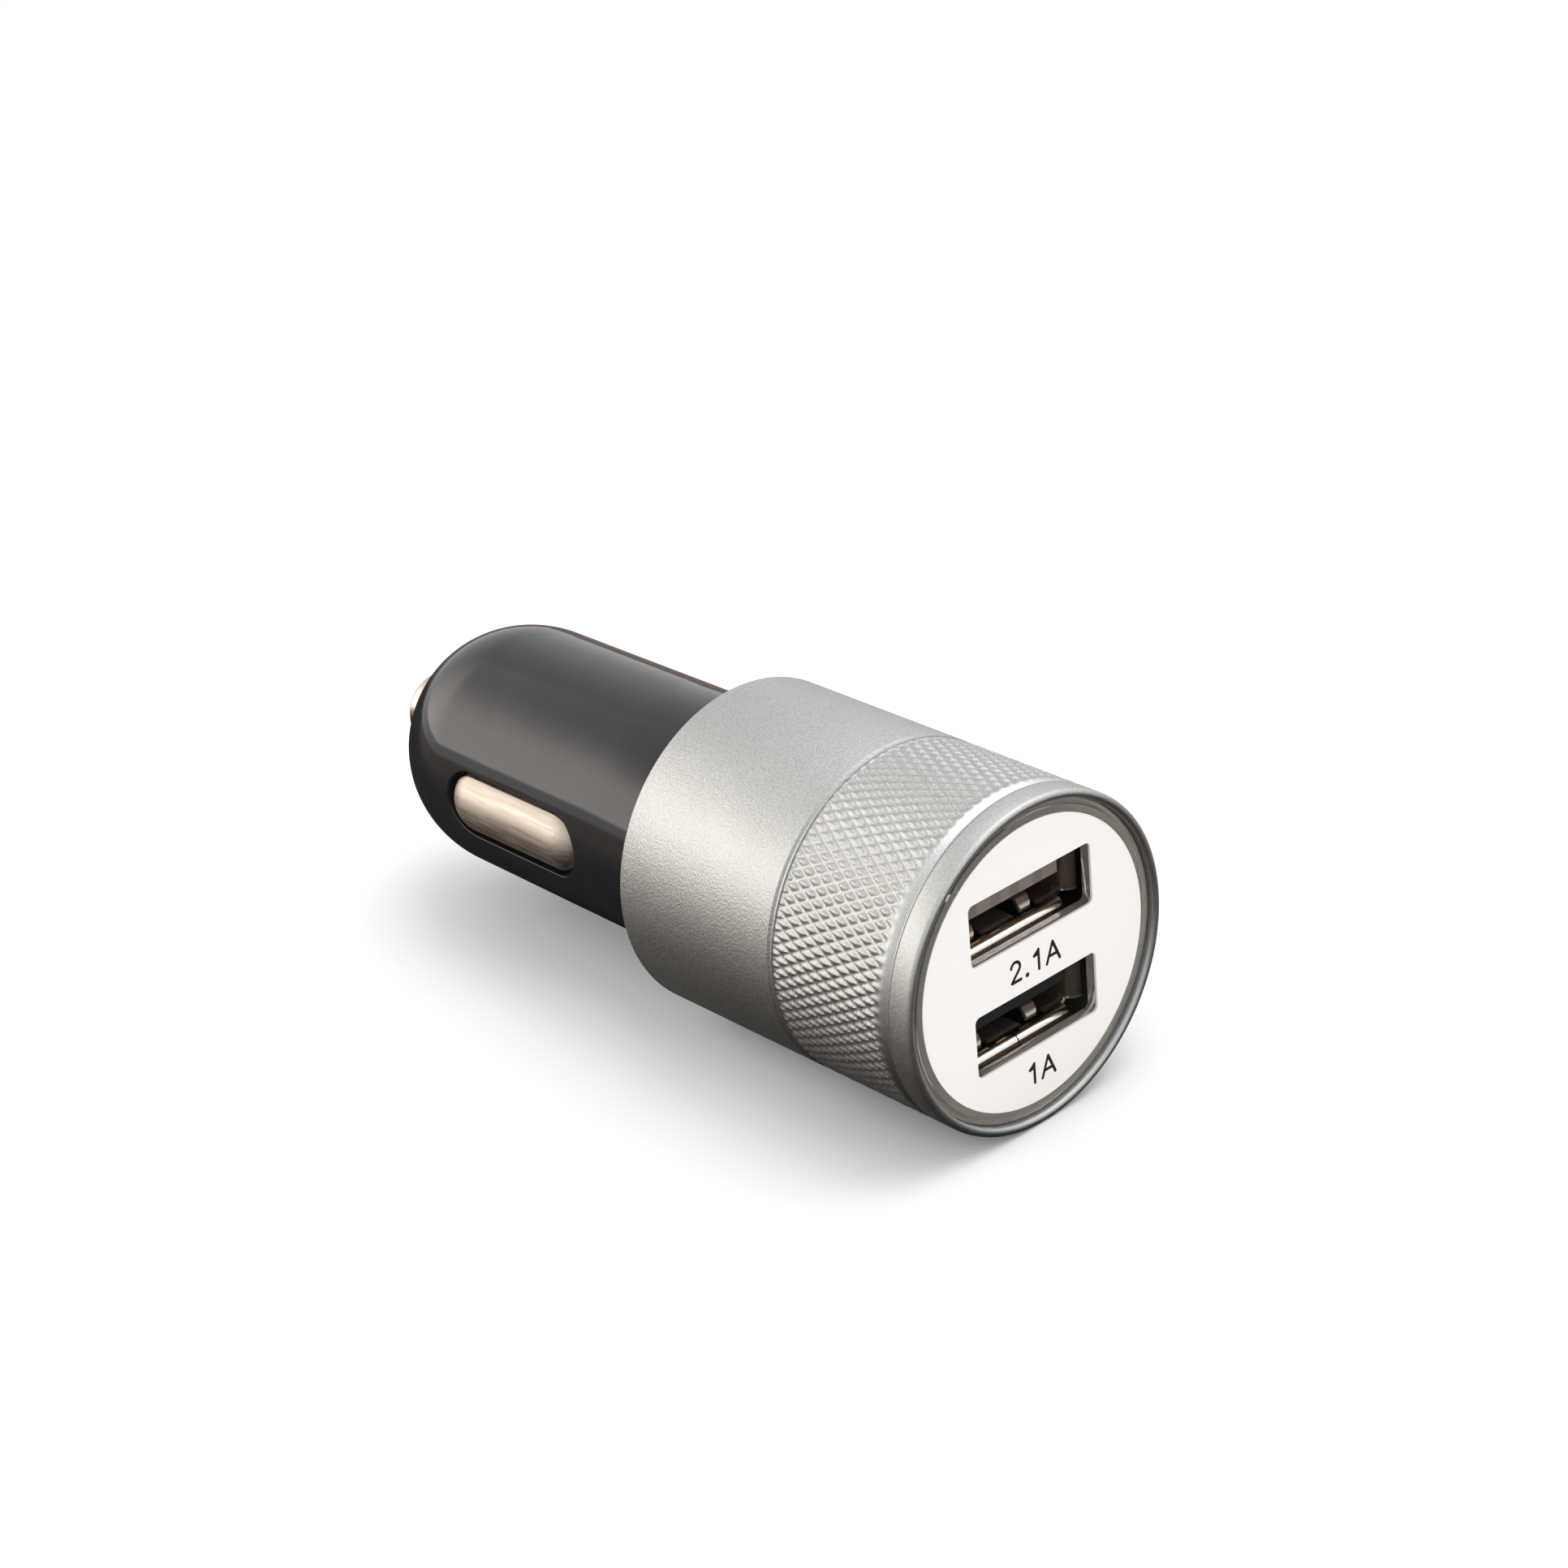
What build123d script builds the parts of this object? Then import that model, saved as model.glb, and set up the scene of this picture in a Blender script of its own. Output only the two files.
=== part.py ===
from build123d import *
import os
from math import acos, degrees, sqrt

# Car USB charger plug, in millimetres. The axis of the plug runs along Y: the face with the two
# ports looks towards -Y, the nose points to +Y, and +Z is up. The origin lies on the axis in the
# plane of the sleeve's rear shoulder, which stops against the vehicle's socket.

# Turned aluminium sleeve
sleeve_radius = 13.5
sleeve_length = 31.6
sleeve_wall = 1.1
rear_lip_thickness = 1.4
front_lip_wall = 0.75
front_lip_proud = 0.4
front_lip_round = 0.34
collar_length = 2.15
collar_groove_width = 0.9
collar_groove_depth = 0.5
knurl_length = 11.45
knurl_groove_width = 0.35
knurl_groove_depth = 0.3
groove_run_in = 0.1
rear_edge_round = 0.25

# Moulded plug body
barrel_radius = 10.5
barrel_land_length = 8.0
barrel_length = 26.8
barrel_draft = 0.12
neck_relief = 0.4
body_wall = 1.5
nose_length = 9.85
nose_dome_inset = 2.0
nose_flat_width = 0.35
nose_front_wall = 2.4
spring_boss_wall = 1.2

# Sprung tip contact
tip_radius = 3.3
tip_reach = 4.8
tip_dome_height = 1.8
tip_flange_width = 1.3
tip_flange_thickness = 1.2
tip_stem_radius = 1.6
tip_stem_room = 1.8
tip_travel = 3.0
spring_length = 8.8
spring_wire_radius = 0.3
spring_mean_radius = 2.6
spring_turns = 6
terminal_thickness = 0.5
terminal_tab_width = 3.0
terminal_tab_length = 5.0

# Side ground contacts
slot_length = 16.3
slot_width = 5.9
slot_centre = 17.35
slot_gap = 0.45
contact_reach = 0.65
contact_crown_radius = 3.05
contact_sheet = 0.4
contact_flange_width = 1.0
contact_travel = 1.2
leaf_thickness = 0.25
leaf_width = 3.0
leaf_foot_length = 1.6
leaf_bow_length = 10.0
leaf_crown_length = 3.0
leaf_bend_radius = 1.0

# Clear face and its label
face_ring_width = 1.05
label_thickness = 0.2
face_thickness = 1.0
face_ring_step_width = 0.45
face_ring_step_depth = 0.25
window_width = 12.9
window_height = 5.15
window_corner = 0.5

# USB sockets
upper_port_height = 4.92
lower_port_height = -4.40
port_shift = -0.4
port_setback = 1.0
port_length = 13.4
port_inner_width = 12.5
port_inner_height = 5.12
port_sheet = 0.3
port_corner = 0.6
mouth_bend_radius = 0.7
mouth_bend_angle = 90
mouth_corner_relief = 0.3
seam_width = 0.12
seam_offset = 0.4
finger_length = 4.5
finger_root_width = 2.1
finger_tip_width = 1.2
finger_tip_round = 0.25
finger_slot_gap = 0.3
finger_lift = 1.1
ceiling_finger_lift = 0.4
finger_tip_lift = 0.1
finger_lead_length = 0.65
finger_bend_radius = 0.35
finger_offset = 3.0
finger_setback = 0.2
leg_width = 2.0
leg_length = 2.9
tongue_width = 11.1
tongue_thickness = 1.82
tongue_height = 0.74
tongue_setback = 0.25
tongue_nose = 0.45
tongue_base_thickness = 2.1
contact_strip_width = 1.0
contact_strip_thickness = 0.25
contact_groove_depth = 0.4
contact_bow = 0.35
contact_bow_length = 2.6
contact_bend_radius = 0.65
contact_nose_setback = 0.7
tail_hole_gap = 0.12
outer_contact_offset = 3.5
inner_contact_offset = 1.0

# Circuit boards
board_thickness = 1.6
main_board_wide = 19.2
main_board_step = 1.0
main_board_corner = 1.0
board_tab_width = 3.0
board_tab_offset = 4.0

# Converter components
inductor_radius = 4.5
inductor_flange = 1.0
inductor_hub_radius = 2.6
capacitor_radius = 3.15
capacitor_crimp_height = 1.1
capacitor_crimp_depth = 0.3
capacitor_edge_round = 0.4
chip_length = 4.9
chip_width = 3.9
chip_height = 1.4
chip_standoff = 0.15
chip_edge = 0.25
leads_per_side = 4
lead_pitch = 1.27
lead_width = 0.42
lead_thickness = 0.2
lead_foot = 0.6
lead_reach = 1.05
lead_bend_radius = 0.12
diode_length = 4.3
diode_width = 2.6
diode_height = 2.1
diode_lead_width = 1.3
resistor_size = (1.6, 0.8, 0.45)
resistor_count = 4
chip_capacitor_size = (2.0, 1.25, 0.85)
chip_capacitor_count = 3
led_size = (2.0, 1.25, 0.8)
chip_row_pitch = 2.2

# Clearances
seat_gap = 0.05
running_gap = 0.05
stop_gap = 0.1
body_gap = 0.3
roof_gap = 0.5

# Stations along the axis
sleeve_front = -sleeve_length
label_front = sleeve_front + front_lip_proud
label_back = label_front + label_thickness
face_back = label_front + face_thickness
shell_front = face_back + port_setback
socket_board_front = shell_front + port_length
socket_board_back = socket_board_front + board_thickness
flange_back = -rear_lip_thickness
flange_hollow_end = flange_back - body_wall
nose_end = barrel_length + nose_length
chamber_end = nose_end - nose_front_wall
tip_flange_front = chamber_end - stop_gap
tip_flange_back = tip_flange_front - tip_flange_thickness
terminal_front = tip_flange_back - spring_length
terminal_back = terminal_front - terminal_thickness
boss_back = terminal_front + stop_gap
tip_end = nose_end + tip_reach
stem_back = terminal_front + tip_travel + tip_stem_room

# Radii that follow from the walls and clearances
bore_radius = sleeve_radius - sleeve_wall
counterbore_radius = sleeve_radius - front_lip_wall
face_radius = counterbore_radius - seat_gap
label_radius = face_radius - face_ring_width
flange_radius = bore_radius - seat_gap
flange_bore = flange_radius - body_wall
barrel_bore = barrel_radius - barrel_draft - body_wall
barrel_end_radius = barrel_radius - barrel_draft
neck_radius = barrel_radius - neck_relief
tip_hole = tip_radius + running_gap
tip_flange_radius = tip_radius + tip_flange_width
chamber_radius = tip_flange_radius + body_gap
boss_radius = chamber_radius + spring_boss_wall
contact_flange_radius = barrel_bore - body_gap
board_top = board_thickness / 2
contact_flange_inner = contact_flange_radius - contact_sheet
contact_flange_height = slot_width + 2 * contact_flange_width
flange_corner = sqrt(contact_flange_inner**2 - (contact_flange_height / 2) ** 2)
narrow_edge = flange_corner - contact_travel - stop_gap

port_heights = {"upper": upper_port_height, "lower": lower_port_height}
contact_offsets = (-outer_contact_offset, -inner_contact_offset, inner_contact_offset, outer_contact_offset)


def turned(*edges):
    """Solid of revolution about the plug's axis; the profile has radius as x and station as y."""
    return revolve(make_face(Wire(list(edges))), Axis.Y)


def chain(points):
    """Straight edges through points in turn."""
    return [Line(a, b) for a, b in zip(points, points[1:])]


def across(sketch, front, back):
    """Solid between two stations from a sketch drawn with X to the right and Z up."""
    plane = Plane(origin=(0, front, 0), x_dir=(1, 0, 0), z_dir=(0, -1, 0))
    return extrude(plane * sketch, amount=front - back)


def sideways(sketch, centre, width):
    """Solid of a given width along X from a sketch drawn with Y to the right and Z up."""
    return extrude(Plane.YZ.offset(centre - width / 2) * sketch, amount=width)


def upright(sketch, bottom, top):
    """Solid between two heights from a sketch drawn in plan."""
    return extrude(Plane.XY.offset(bottom) * sketch, amount=top - bottom)


def block(x, y, z):
    """Box given by its limits along X, Y and Z."""
    size = Box(x[1] - x[0], y[1] - y[0], z[1] - z[0], align=(Align.MIN, Align.MIN, Align.MIN))
    return Pos(x[0], y[0], z[0]) * size


def window_sketch(height):
    """Rounded window of one port in the face and its label."""
    return Pos(0, height) * RectangleRounded(window_width, window_height, window_corner)


def make_sleeve():
    """Tube with a rear lip, a stepped mouth for the face, and the two turned grooves."""
    collar_end = sleeve_front + collar_length
    collar_groove_end = collar_end + collar_groove_width
    knurl_end = collar_groove_end + knurl_length
    knurl_groove_end = knurl_end + knurl_groove_width
    points = [
        (counterbore_radius, sleeve_front),
        (sleeve_radius, sleeve_front),
        (sleeve_radius, collar_end),
        (sleeve_radius - collar_groove_depth, collar_end + groove_run_in),
        (sleeve_radius, collar_groove_end),
        (sleeve_radius, knurl_end),
        (sleeve_radius - knurl_groove_depth, knurl_end + groove_run_in),
        (sleeve_radius, knurl_groove_end),
        (sleeve_radius, 0),
        (barrel_radius + seat_gap, 0),
        (barrel_radius + seat_gap, -rear_lip_thickness),
        (bore_radius, -rear_lip_thickness),
        (bore_radius, face_back),
        (counterbore_radius, face_back),
    ]
    sleeve = turned(*chain(points + points[:1]))
    rings = sleeve.edges().filter_by(GeomType.CIRCLE)
    sleeve = fillet(rings.group_by(Axis.Y)[0], front_lip_round)
    rear_rim = sleeve.edges().filter_by(GeomType.CIRCLE).group_by(Axis.Y)[-1].sort_by(SortBy.RADIUS)[-1]
    return fillet(rear_rim, rear_edge_round)


def nose_arc(wall, inner_radius):
    """Quarter-dome profile of the nose, moved inwards by a wall, as far as an inner radius."""
    radial = barrel_end_radius - nose_dome_inset - wall
    axial = nose_length - wall
    sweep_angle = degrees(acos((inner_radius - nose_dome_inset) / radial))
    return EllipticalCenterArc((nose_dome_inset, barrel_length), radial, axial, 0, arc_size=sweep_angle)


def make_plug_body():
    """Moulded barrel with a domed nose, a flange inside the sleeve, a spring boss and the two slots."""
    outer_arc = nose_arc(0, tip_hole + nose_flat_width)
    inner_arc = nose_arc(body_wall, boss_radius)
    outer_end = outer_arc @ 1
    inner_end = inner_arc @ 1
    outside = [
        (flange_bore, socket_board_back),
        (flange_radius, socket_board_back),
        (flange_radius, flange_back),
        (neck_radius, flange_back),
        (neck_radius, 0),
        (barrel_radius, 0),
        (barrel_radius, barrel_land_length),
        (barrel_end_radius, barrel_length),
    ]
    tip_guide = [
        (outer_end.X, outer_end.Y),
        (tip_hole, outer_end.Y),
        (tip_hole, chamber_end),
        (chamber_radius, chamber_end),
        (chamber_radius, boss_back),
        (boss_radius, boss_back),
        (inner_end.X, inner_end.Y),
    ]
    inside = [
        (barrel_bore, barrel_length),
        (barrel_bore, flange_hollow_end),
        (flange_bore, flange_hollow_end),
        (flange_bore, socket_board_back),
    ]
    body = turned(*chain(outside), outer_arc, *chain(tip_guide), inner_arc, *chain(inside))
    slot = Pos(slot_centre, 0) * SlotOverall(slot_length, slot_width)
    return body - sideways(slot, 0, 2 * sleeve_radius)


def make_clear_face():
    """Clear plate with a recess for the label, a stepped rim and a window for each port."""
    step = face_radius - face_ring_step_width
    recess = label_radius + seat_gap
    points = [
        (0, label_back),
        (recess, label_back),
        (recess, label_front),
        (step, label_front),
        (step, label_front + face_ring_step_depth),
        (face_radius, label_front + face_ring_step_depth),
        (face_radius, face_back),
        (0, face_back),
    ]
    face = turned(*chain(points + points[:1]))
    for height in port_heights.values():
        face -= across(window_sketch(height), label_front, face_back)
    return face


def make_face_label():
    """White film disc with the same windows as the face behind it."""
    outline = Circle(label_radius)
    for height in port_heights.values():
        outline -= window_sketch(height)
    return across(outline, label_front, label_back)


def mouth_lip(wall_distance, width):
    """Flared lip below a port's centre: the sheet bends outwards through the mouth angle."""
    bend = CenterArc((0, 0), mouth_bend_radius + port_sheet / 2, 90, mouth_bend_angle)
    profile = trace(bend, port_sheet)
    reach = mouth_bend_radius + port_sheet
    start = shell_front + reach
    return sideways(Pos(start, -wall_distance - reach) * profile, 0, width)


def finger(shift, wall_distance, lift):
    """Sprung finger in the floor: it rises from its root to a crest and leads down to a narrower tip."""
    tip = shell_front + mouth_bend_radius + port_sheet + finger_setback
    crest = tip + finger_lead_length
    root = tip + finger_length
    level = -wall_distance - port_sheet / 2
    path = FilletPolyline(
        (root + port_sheet, level),
        (root, level),
        (crest, level + lift),
        (tip, level + finger_tip_lift),
        radius=finger_bend_radius,
    )
    half_root = finger_root_width / 2
    half_tip = finger_tip_width / 2
    end = root + port_sheet
    plan = Polygon((-half_root, end), (-half_tip, tip), (half_tip, tip), (half_root, end), align=None)
    plan = fillet(plan.vertices().group_by(Axis.Y)[0], finger_tip_round)
    strip = sideways(trace(path, port_sheet), shift, finger_root_width)
    return strip & upright(Pos(shift, 0) * plan, level - port_sheet, level + lift + port_sheet)


def finger_window(shift, wall_distance):
    """Opening in the floor round one finger."""
    tip = shell_front + mouth_bend_radius + port_sheet + finger_setback
    half = finger_root_width / 2 + finger_slot_gap
    return block(
        (shift - half, shift + half),
        (tip - finger_slot_gap, tip + finger_length),
        (-wall_distance - 2 * port_sheet, -wall_distance + port_sheet),
    )


def make_port_shell(height, seamed):
    """Folded sheet shell of one socket: flared mouth, fingers, solder legs and, if seamed, a floor seam."""
    half_height = port_inner_height / 2
    half_width = port_inner_width / 2
    inner = RectangleRounded(port_inner_width, port_inner_height, port_corner - port_sheet)
    outer = offset(inner, port_sheet)
    tube_front = shell_front + mouth_bend_radius + port_sheet
    shell = across(outer - inner, tube_front, socket_board_front)
    lip_width = port_inner_width - 2 * mouth_corner_relief
    lip_height = port_inner_height - 2 * mouth_corner_relief
    turn = Rot(0, 180, 0)
    shell += mouth_lip(half_height, lip_width)
    shell += turn * mouth_lip(half_height, lip_width)
    for angle in (90, -90):
        shell += Rot(0, angle, 0) * mouth_lip(half_width, lip_height)
    for shift in (-finger_offset, finger_offset):
        shell -= finger_window(shift, half_height)
        shell += finger(shift, half_height, finger_lift)
        shell -= turn * finger_window(shift, half_height)
        shell += turn * finger(shift, half_height, ceiling_finger_lift)
    if seamed:
        shell -= block(
            (seam_offset - seam_width / 2, seam_offset + seam_width / 2),
            (shell_front - port_sheet, socket_board_front),
            (-half_height - 2 * mouth_bend_radius - port_sheet, -half_height + port_sheet / 2),
        )
    for side in (-1, 1):
        inside = side * half_width
        outside = side * (half_width + port_sheet)
        shell += block(
            (min(inside, outside), max(inside, outside)),
            (socket_board_front, socket_board_front + leg_length),
            (-leg_width / 2, leg_width / 2),
        )
    return Pos(port_shift, 0, height) * shell


def strip_level():
    """Height of a contact strip's middle above the port's centre, in its groove under the tongue."""
    return tongue_height - tongue_thickness / 2 + contact_strip_thickness / 2 + seat_gap


def make_port_tongue(height):
    """Moulded contact carrier: a base that fills the shell's back and a grooved tongue."""
    base_front = socket_board_front - tongue_base_thickness
    width = port_inner_width - 2 * seat_gap
    depth = port_inner_height - 2 * seat_gap
    tongue_front = shell_front + tongue_setback
    corner = port_corner - port_sheet
    tongue = across(RectangleRounded(width, depth, corner), base_front, socket_board_front)
    blade = Pos(0, tongue_height) * Rectangle(tongue_width, tongue_thickness)
    tongue += across(blade, tongue_front, base_front)
    bottom = tongue_height - tongue_thickness / 2
    half_groove = contact_strip_width / 2 + seat_gap
    passage = contact_strip_thickness / 2 + seat_gap
    for shift in contact_offsets:
        sides = (shift - half_groove, shift + half_groove)
        groove_run = (tongue_front + tongue_nose, base_front)
        tongue -= block(sides, groove_run, (bottom, bottom + contact_groove_depth))
        level = (strip_level() - passage, strip_level() + passage)
        tongue -= block(sides, (base_front, socket_board_front), level)
    return Pos(port_shift, 0, height) * tongue


def make_port_contacts(height):
    """Four bowed contact strips under the tongue, with tails that pass through the socket board."""
    level = height + strip_level()
    nose = shell_front + tongue_setback + contact_nose_setback
    crown = nose + contact_bow_length / 2
    end = nose + contact_bow_length
    tail = socket_board_front + leg_length
    path = FilletPolyline(
        (nose, level), (crown, level - contact_bow), (end, level), (tail, level), radius=contact_bend_radius
    )
    profile = trace(path, contact_strip_thickness)
    strips = [sideways(profile, port_shift + shift, contact_strip_width) for shift in contact_offsets]
    return Compound(children=strips)


def make_socket_board():
    """Round board behind the sockets, with openings for their legs, tails and the main board's tabs."""
    board = Circle(bore_radius - seat_gap)
    leg_middle = (port_inner_width + port_sheet) / 2
    for height in port_heights.values():
        for side in (-1, 1):
            leg = Rectangle(port_sheet + 2 * seat_gap, leg_width + 2 * seat_gap)
            board -= Pos(port_shift + side * leg_middle, height) * leg
        for shift in contact_offsets:
            hole = Circle(contact_strip_width / 2 + tail_hole_gap)
            board -= Pos(port_shift + shift, height + strip_level()) * hole
    for side in (-1, 1):
        tab = Rectangle(board_tab_width + 2 * seat_gap, board_thickness + 2 * seat_gap)
        board -= Pos(side * board_tab_offset, 0) * tab
    return across(board, socket_board_front, socket_board_back)


def make_main_board():
    """Board along the axis, wide inside the sleeve and narrow inside the barrel, with two front tabs."""
    wide_end = flange_hollow_end - main_board_step
    half_wide = main_board_wide / 2
    wide = block((-half_wide, half_wide), (socket_board_back, wide_end), (-board_top, board_top))
    narrow = block((-narrow_edge, narrow_edge), (wide_end, terminal_back), (-board_top, board_top))
    wide = fillet(wide.edges().filter_by(Axis.Z).group_by(Axis.Y)[-1], main_board_corner)
    board = wide + narrow
    for side in (-1, 1):
        middle = side * board_tab_offset
        board += block(
            (middle - board_tab_width / 2, middle + board_tab_width / 2),
            (socket_board_front, socket_board_back),
            (-board_top, board_top),
        )
    return board


def make_tip_contact():
    """Domed pin with a retaining flange and a stem that guides the spring."""
    dome_start = tip_end - tip_dome_height
    dome_radius = (tip_radius**2 + tip_dome_height**2) / (2 * tip_dome_height)
    rim_angle = degrees(acos(tip_radius / dome_radius))
    dome = CenterArc((0, tip_end - dome_radius), dome_radius, rim_angle, 90 - rim_angle)
    lower = [
        (0, stem_back),
        (tip_stem_radius, stem_back),
        (tip_stem_radius, tip_flange_back),
        (tip_flange_radius, tip_flange_back),
        (tip_flange_radius, tip_flange_front),
        (tip_radius, tip_flange_front),
        (tip_radius, dome_start),
    ]
    axis_line = Line((0, tip_end), (0, stem_back))
    return turned(*chain(lower), dome, axis_line)


def make_tip_spring():
    """Open coil between the terminal and the tip's flange."""
    end_room = spring_wire_radius + seat_gap
    coil_height = spring_length - 2 * end_room
    coil = Helix(
        pitch=coil_height / spring_turns,
        height=coil_height,
        radius=spring_mean_radius,
        center=(0, terminal_front + end_room, 0),
        direction=(0, 1, 0),
    )
    section = Plane(origin=coil @ 0, z_dir=coil % 0) * Circle(spring_wire_radius)
    return sweep(section, path=coil, is_frenet=True)


def make_tip_terminal():
    """Disc that the spring stands on, with a tab along the top of the main board."""
    half_tab = terminal_tab_width / 2
    disc = across(Circle(tip_flange_radius), terminal_back, terminal_front)
    tab = block(
        (-half_tab, half_tab),
        (terminal_back - terminal_tab_length, terminal_back),
        (board_top, board_top + terminal_thickness),
    )
    return disc + tab


def capsule(radius, length, axis_offset):
    """Round-ended bar lying along the plug at an offset to the right of its axis."""
    bar = Cylinder(radius, length, rotation=(90, 0, 0))
    for end in (-1, 1):
        bar += Pos(0, end * length / 2, 0) * Sphere(radius)
    return Pos(axis_offset, slot_centre, 0) * bar


def make_ground_contact():
    """Drawn cap in the right-hand slot, with a curved flange that stops behind the barrel's wall."""
    crown = barrel_radius + contact_reach
    pad_width = slot_width - 2 * slot_gap
    straight = slot_length - slot_width
    axis_offset = crown - contact_crown_radius
    outline = Pos(slot_centre, 0) * SlotOverall(straight + pad_width, pad_width)
    cap = sideways(outline, crown / 2, crown) & capsule(contact_crown_radius, straight, axis_offset)
    hollow_width = pad_width - 2 * contact_sheet
    hollow_outline = Pos(slot_centre, 0) * SlotOverall(straight + hollow_width, hollow_width)
    hollow_prism = sideways(hollow_outline, crown / 2, crown)
    hollow = hollow_prism & capsule(contact_crown_radius - contact_sheet, straight, axis_offset)
    flange_length = slot_length + 2 * contact_flange_width
    ring = Circle(contact_flange_radius) - Circle(contact_flange_inner)
    flange = across(ring, slot_centre - flange_length / 2, slot_centre + flange_length / 2)
    flange_outline = Pos(slot_centre, 0) * RectangleRounded(
        flange_length, contact_flange_height, contact_flange_width
    )
    flange = flange & sideways(flange_outline, crown / 2, crown)
    cap -= Pos(0, slot_centre, 0) * Cylinder(contact_flange_inner, 2 * slot_length, rotation=(90, 0, 0))
    return (cap - hollow) + (flange - hollow_prism)


def make_ground_spring():
    """Bowed leaf from the main board's right edge to the inside of the contact's crown."""
    foot = narrow_edge + leaf_thickness / 2
    cap_radius = contact_crown_radius - contact_sheet
    cap_axis = barrel_radius + contact_reach - contact_crown_radius
    cap_height = sqrt(cap_radius**2 - (leaf_width / 2) ** 2)
    crown = cap_axis + cap_height - leaf_thickness / 2 - seat_gap
    half_bow = leaf_bow_length / 2
    half_crown = leaf_crown_length / 2
    half_leaf = half_bow + leaf_foot_length
    path = FilletPolyline(
        (foot, slot_centre - half_leaf),
        (foot, slot_centre - half_bow),
        (crown, slot_centre - half_crown),
        (crown, slot_centre + half_crown),
        (foot, slot_centre + half_bow),
        (foot, slot_centre + half_leaf),
        radius=leaf_bend_radius,
    )
    return upright(trace(path, leaf_thickness), -leaf_width / 2, leaf_width / 2)


def roof(bore, reach):
    """Room above the main board inside a round bore, at a distance from the middle."""
    return sqrt(bore**2 - reach**2) - board_top - roof_gap


def standing(profile, x, y):
    """Round component standing on the main board, from a profile of radius and height."""
    return Pos(x, y, board_top) * revolve(Plane.XZ * make_face(Polyline(*profile, close=True)), Axis.Z)


def capacitor(height, x, y):
    """Electrolytic can with a crimp above its base and a rounded top edge."""
    neck = capacitor_radius - capacitor_crimp_depth
    profile = [
        (0, 0),
        (capacitor_radius, 0),
        (capacitor_radius, capacitor_crimp_height - capacitor_crimp_depth),
        (neck, capacitor_crimp_height),
        (capacitor_radius, capacitor_crimp_height + capacitor_crimp_depth),
        (capacitor_radius, height),
        (0, height),
    ]
    can = standing(profile, x, y)
    top_ring = can.edges().filter_by(GeomType.CIRCLE).group_by(Axis.Z)[-1]
    return fillet(top_ring, capacitor_edge_round)


def chip_row(size, count, x, y):
    """Row of equal chip components under the main board, centred on a place."""
    chips = []
    for index in range(count):
        middle = y + (index - (count - 1) / 2) * chip_row_pitch
        chips.append(
            block(
                (x - size[0] / 2, x + size[0] / 2),
                (middle - size[1] / 2, middle + size[1] / 2),
                (-board_top - size[2], -board_top),
            )
        )
    return Compound(children=chips)


def gull_lead(x, y, side, body_half, shoulder):
    """One bent lead from a chip's side down to the underside of the main board."""
    path = FilletPolyline(
        (side * body_half, shoulder),
        (side * (body_half + lead_reach - lead_foot), shoulder),
        (side * (body_half + lead_reach - lead_foot), -board_top - lead_thickness / 2),
        (side * (body_half + lead_reach), -board_top - lead_thickness / 2),
        radius=lead_bend_radius,
    )
    front = Plane(origin=(x, y - lead_width / 2, 0), x_dir=(1, 0, 0), z_dir=(0, -1, 0))
    return extrude(front * trace(path, lead_thickness), amount=-lead_width)


os.makedirs("parts", exist_ok=True)


def save(shape, node):
    export_step(shape, f"parts/{node}.step")


save(make_sleeve(), "sleeve")
save(make_plug_body(), "plug_body")
save(make_clear_face(), "clear_face")
save(make_face_label(), "face_label")

for place, height in port_heights.items():
    save(make_port_shell(height, place == "lower"), f"port_shell_{place}")
    save(make_port_tongue(height), f"port_tongue_{place}")
    save(make_port_contacts(height), f"port_contacts_{place}")

save(make_socket_board(), "socket_board")
save(make_main_board(), "main_board")
save(make_tip_contact(), "tip_contact")
save(make_tip_spring(), "tip_spring")
save(make_tip_terminal(), "tip_terminal")

ground_contact = make_ground_contact()
ground_spring = make_ground_spring()
save(ground_contact, "ground_contact_right")
save(ground_spring, "ground_spring_right")
save(mirror(ground_contact, Plane.YZ), "ground_contact_left")
save(mirror(ground_spring, Plane.YZ), "ground_spring_left")

# Components over the wide part of the main board, between the socket board and the barrel
wide_middle = (socket_board_back + flange_hollow_end) / 2
inductor_x = -inductor_radius + roof_gap
inductor_height = roof(flange_bore, 2 * inductor_radius - roof_gap)
inductor_neck = inductor_height - inductor_flange
drum = [
    (0, 0),
    (inductor_radius, 0),
    (inductor_radius, inductor_flange),
    (inductor_hub_radius, inductor_flange),
    (inductor_hub_radius, inductor_neck),
    (inductor_radius, inductor_neck),
    (inductor_radius, inductor_height),
    (0, inductor_height),
]
coil_outer = inductor_radius - 2 * seat_gap
winding = [
    (inductor_hub_radius + seat_gap, inductor_flange + seat_gap),
    (coil_outer, inductor_flange + seat_gap),
    (coil_outer, inductor_neck - seat_gap),
    (inductor_hub_radius + seat_gap, inductor_neck - seat_gap),
]
save(standing(drum, inductor_x, wide_middle), "inductor_core")
save(standing(winding, inductor_x, wide_middle), "inductor_winding")

output_x = inductor_x + inductor_radius + capacitor_radius + body_gap
output_height = roof(flange_bore, output_x + capacitor_radius)
save(capacitor(output_height, output_x, wide_middle), "output_capacitor")
input_y = flange_hollow_end + capacitor_radius + body_gap
save(capacitor(roof(barrel_bore, capacitor_radius), 0, input_y), "input_capacitor")

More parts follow.
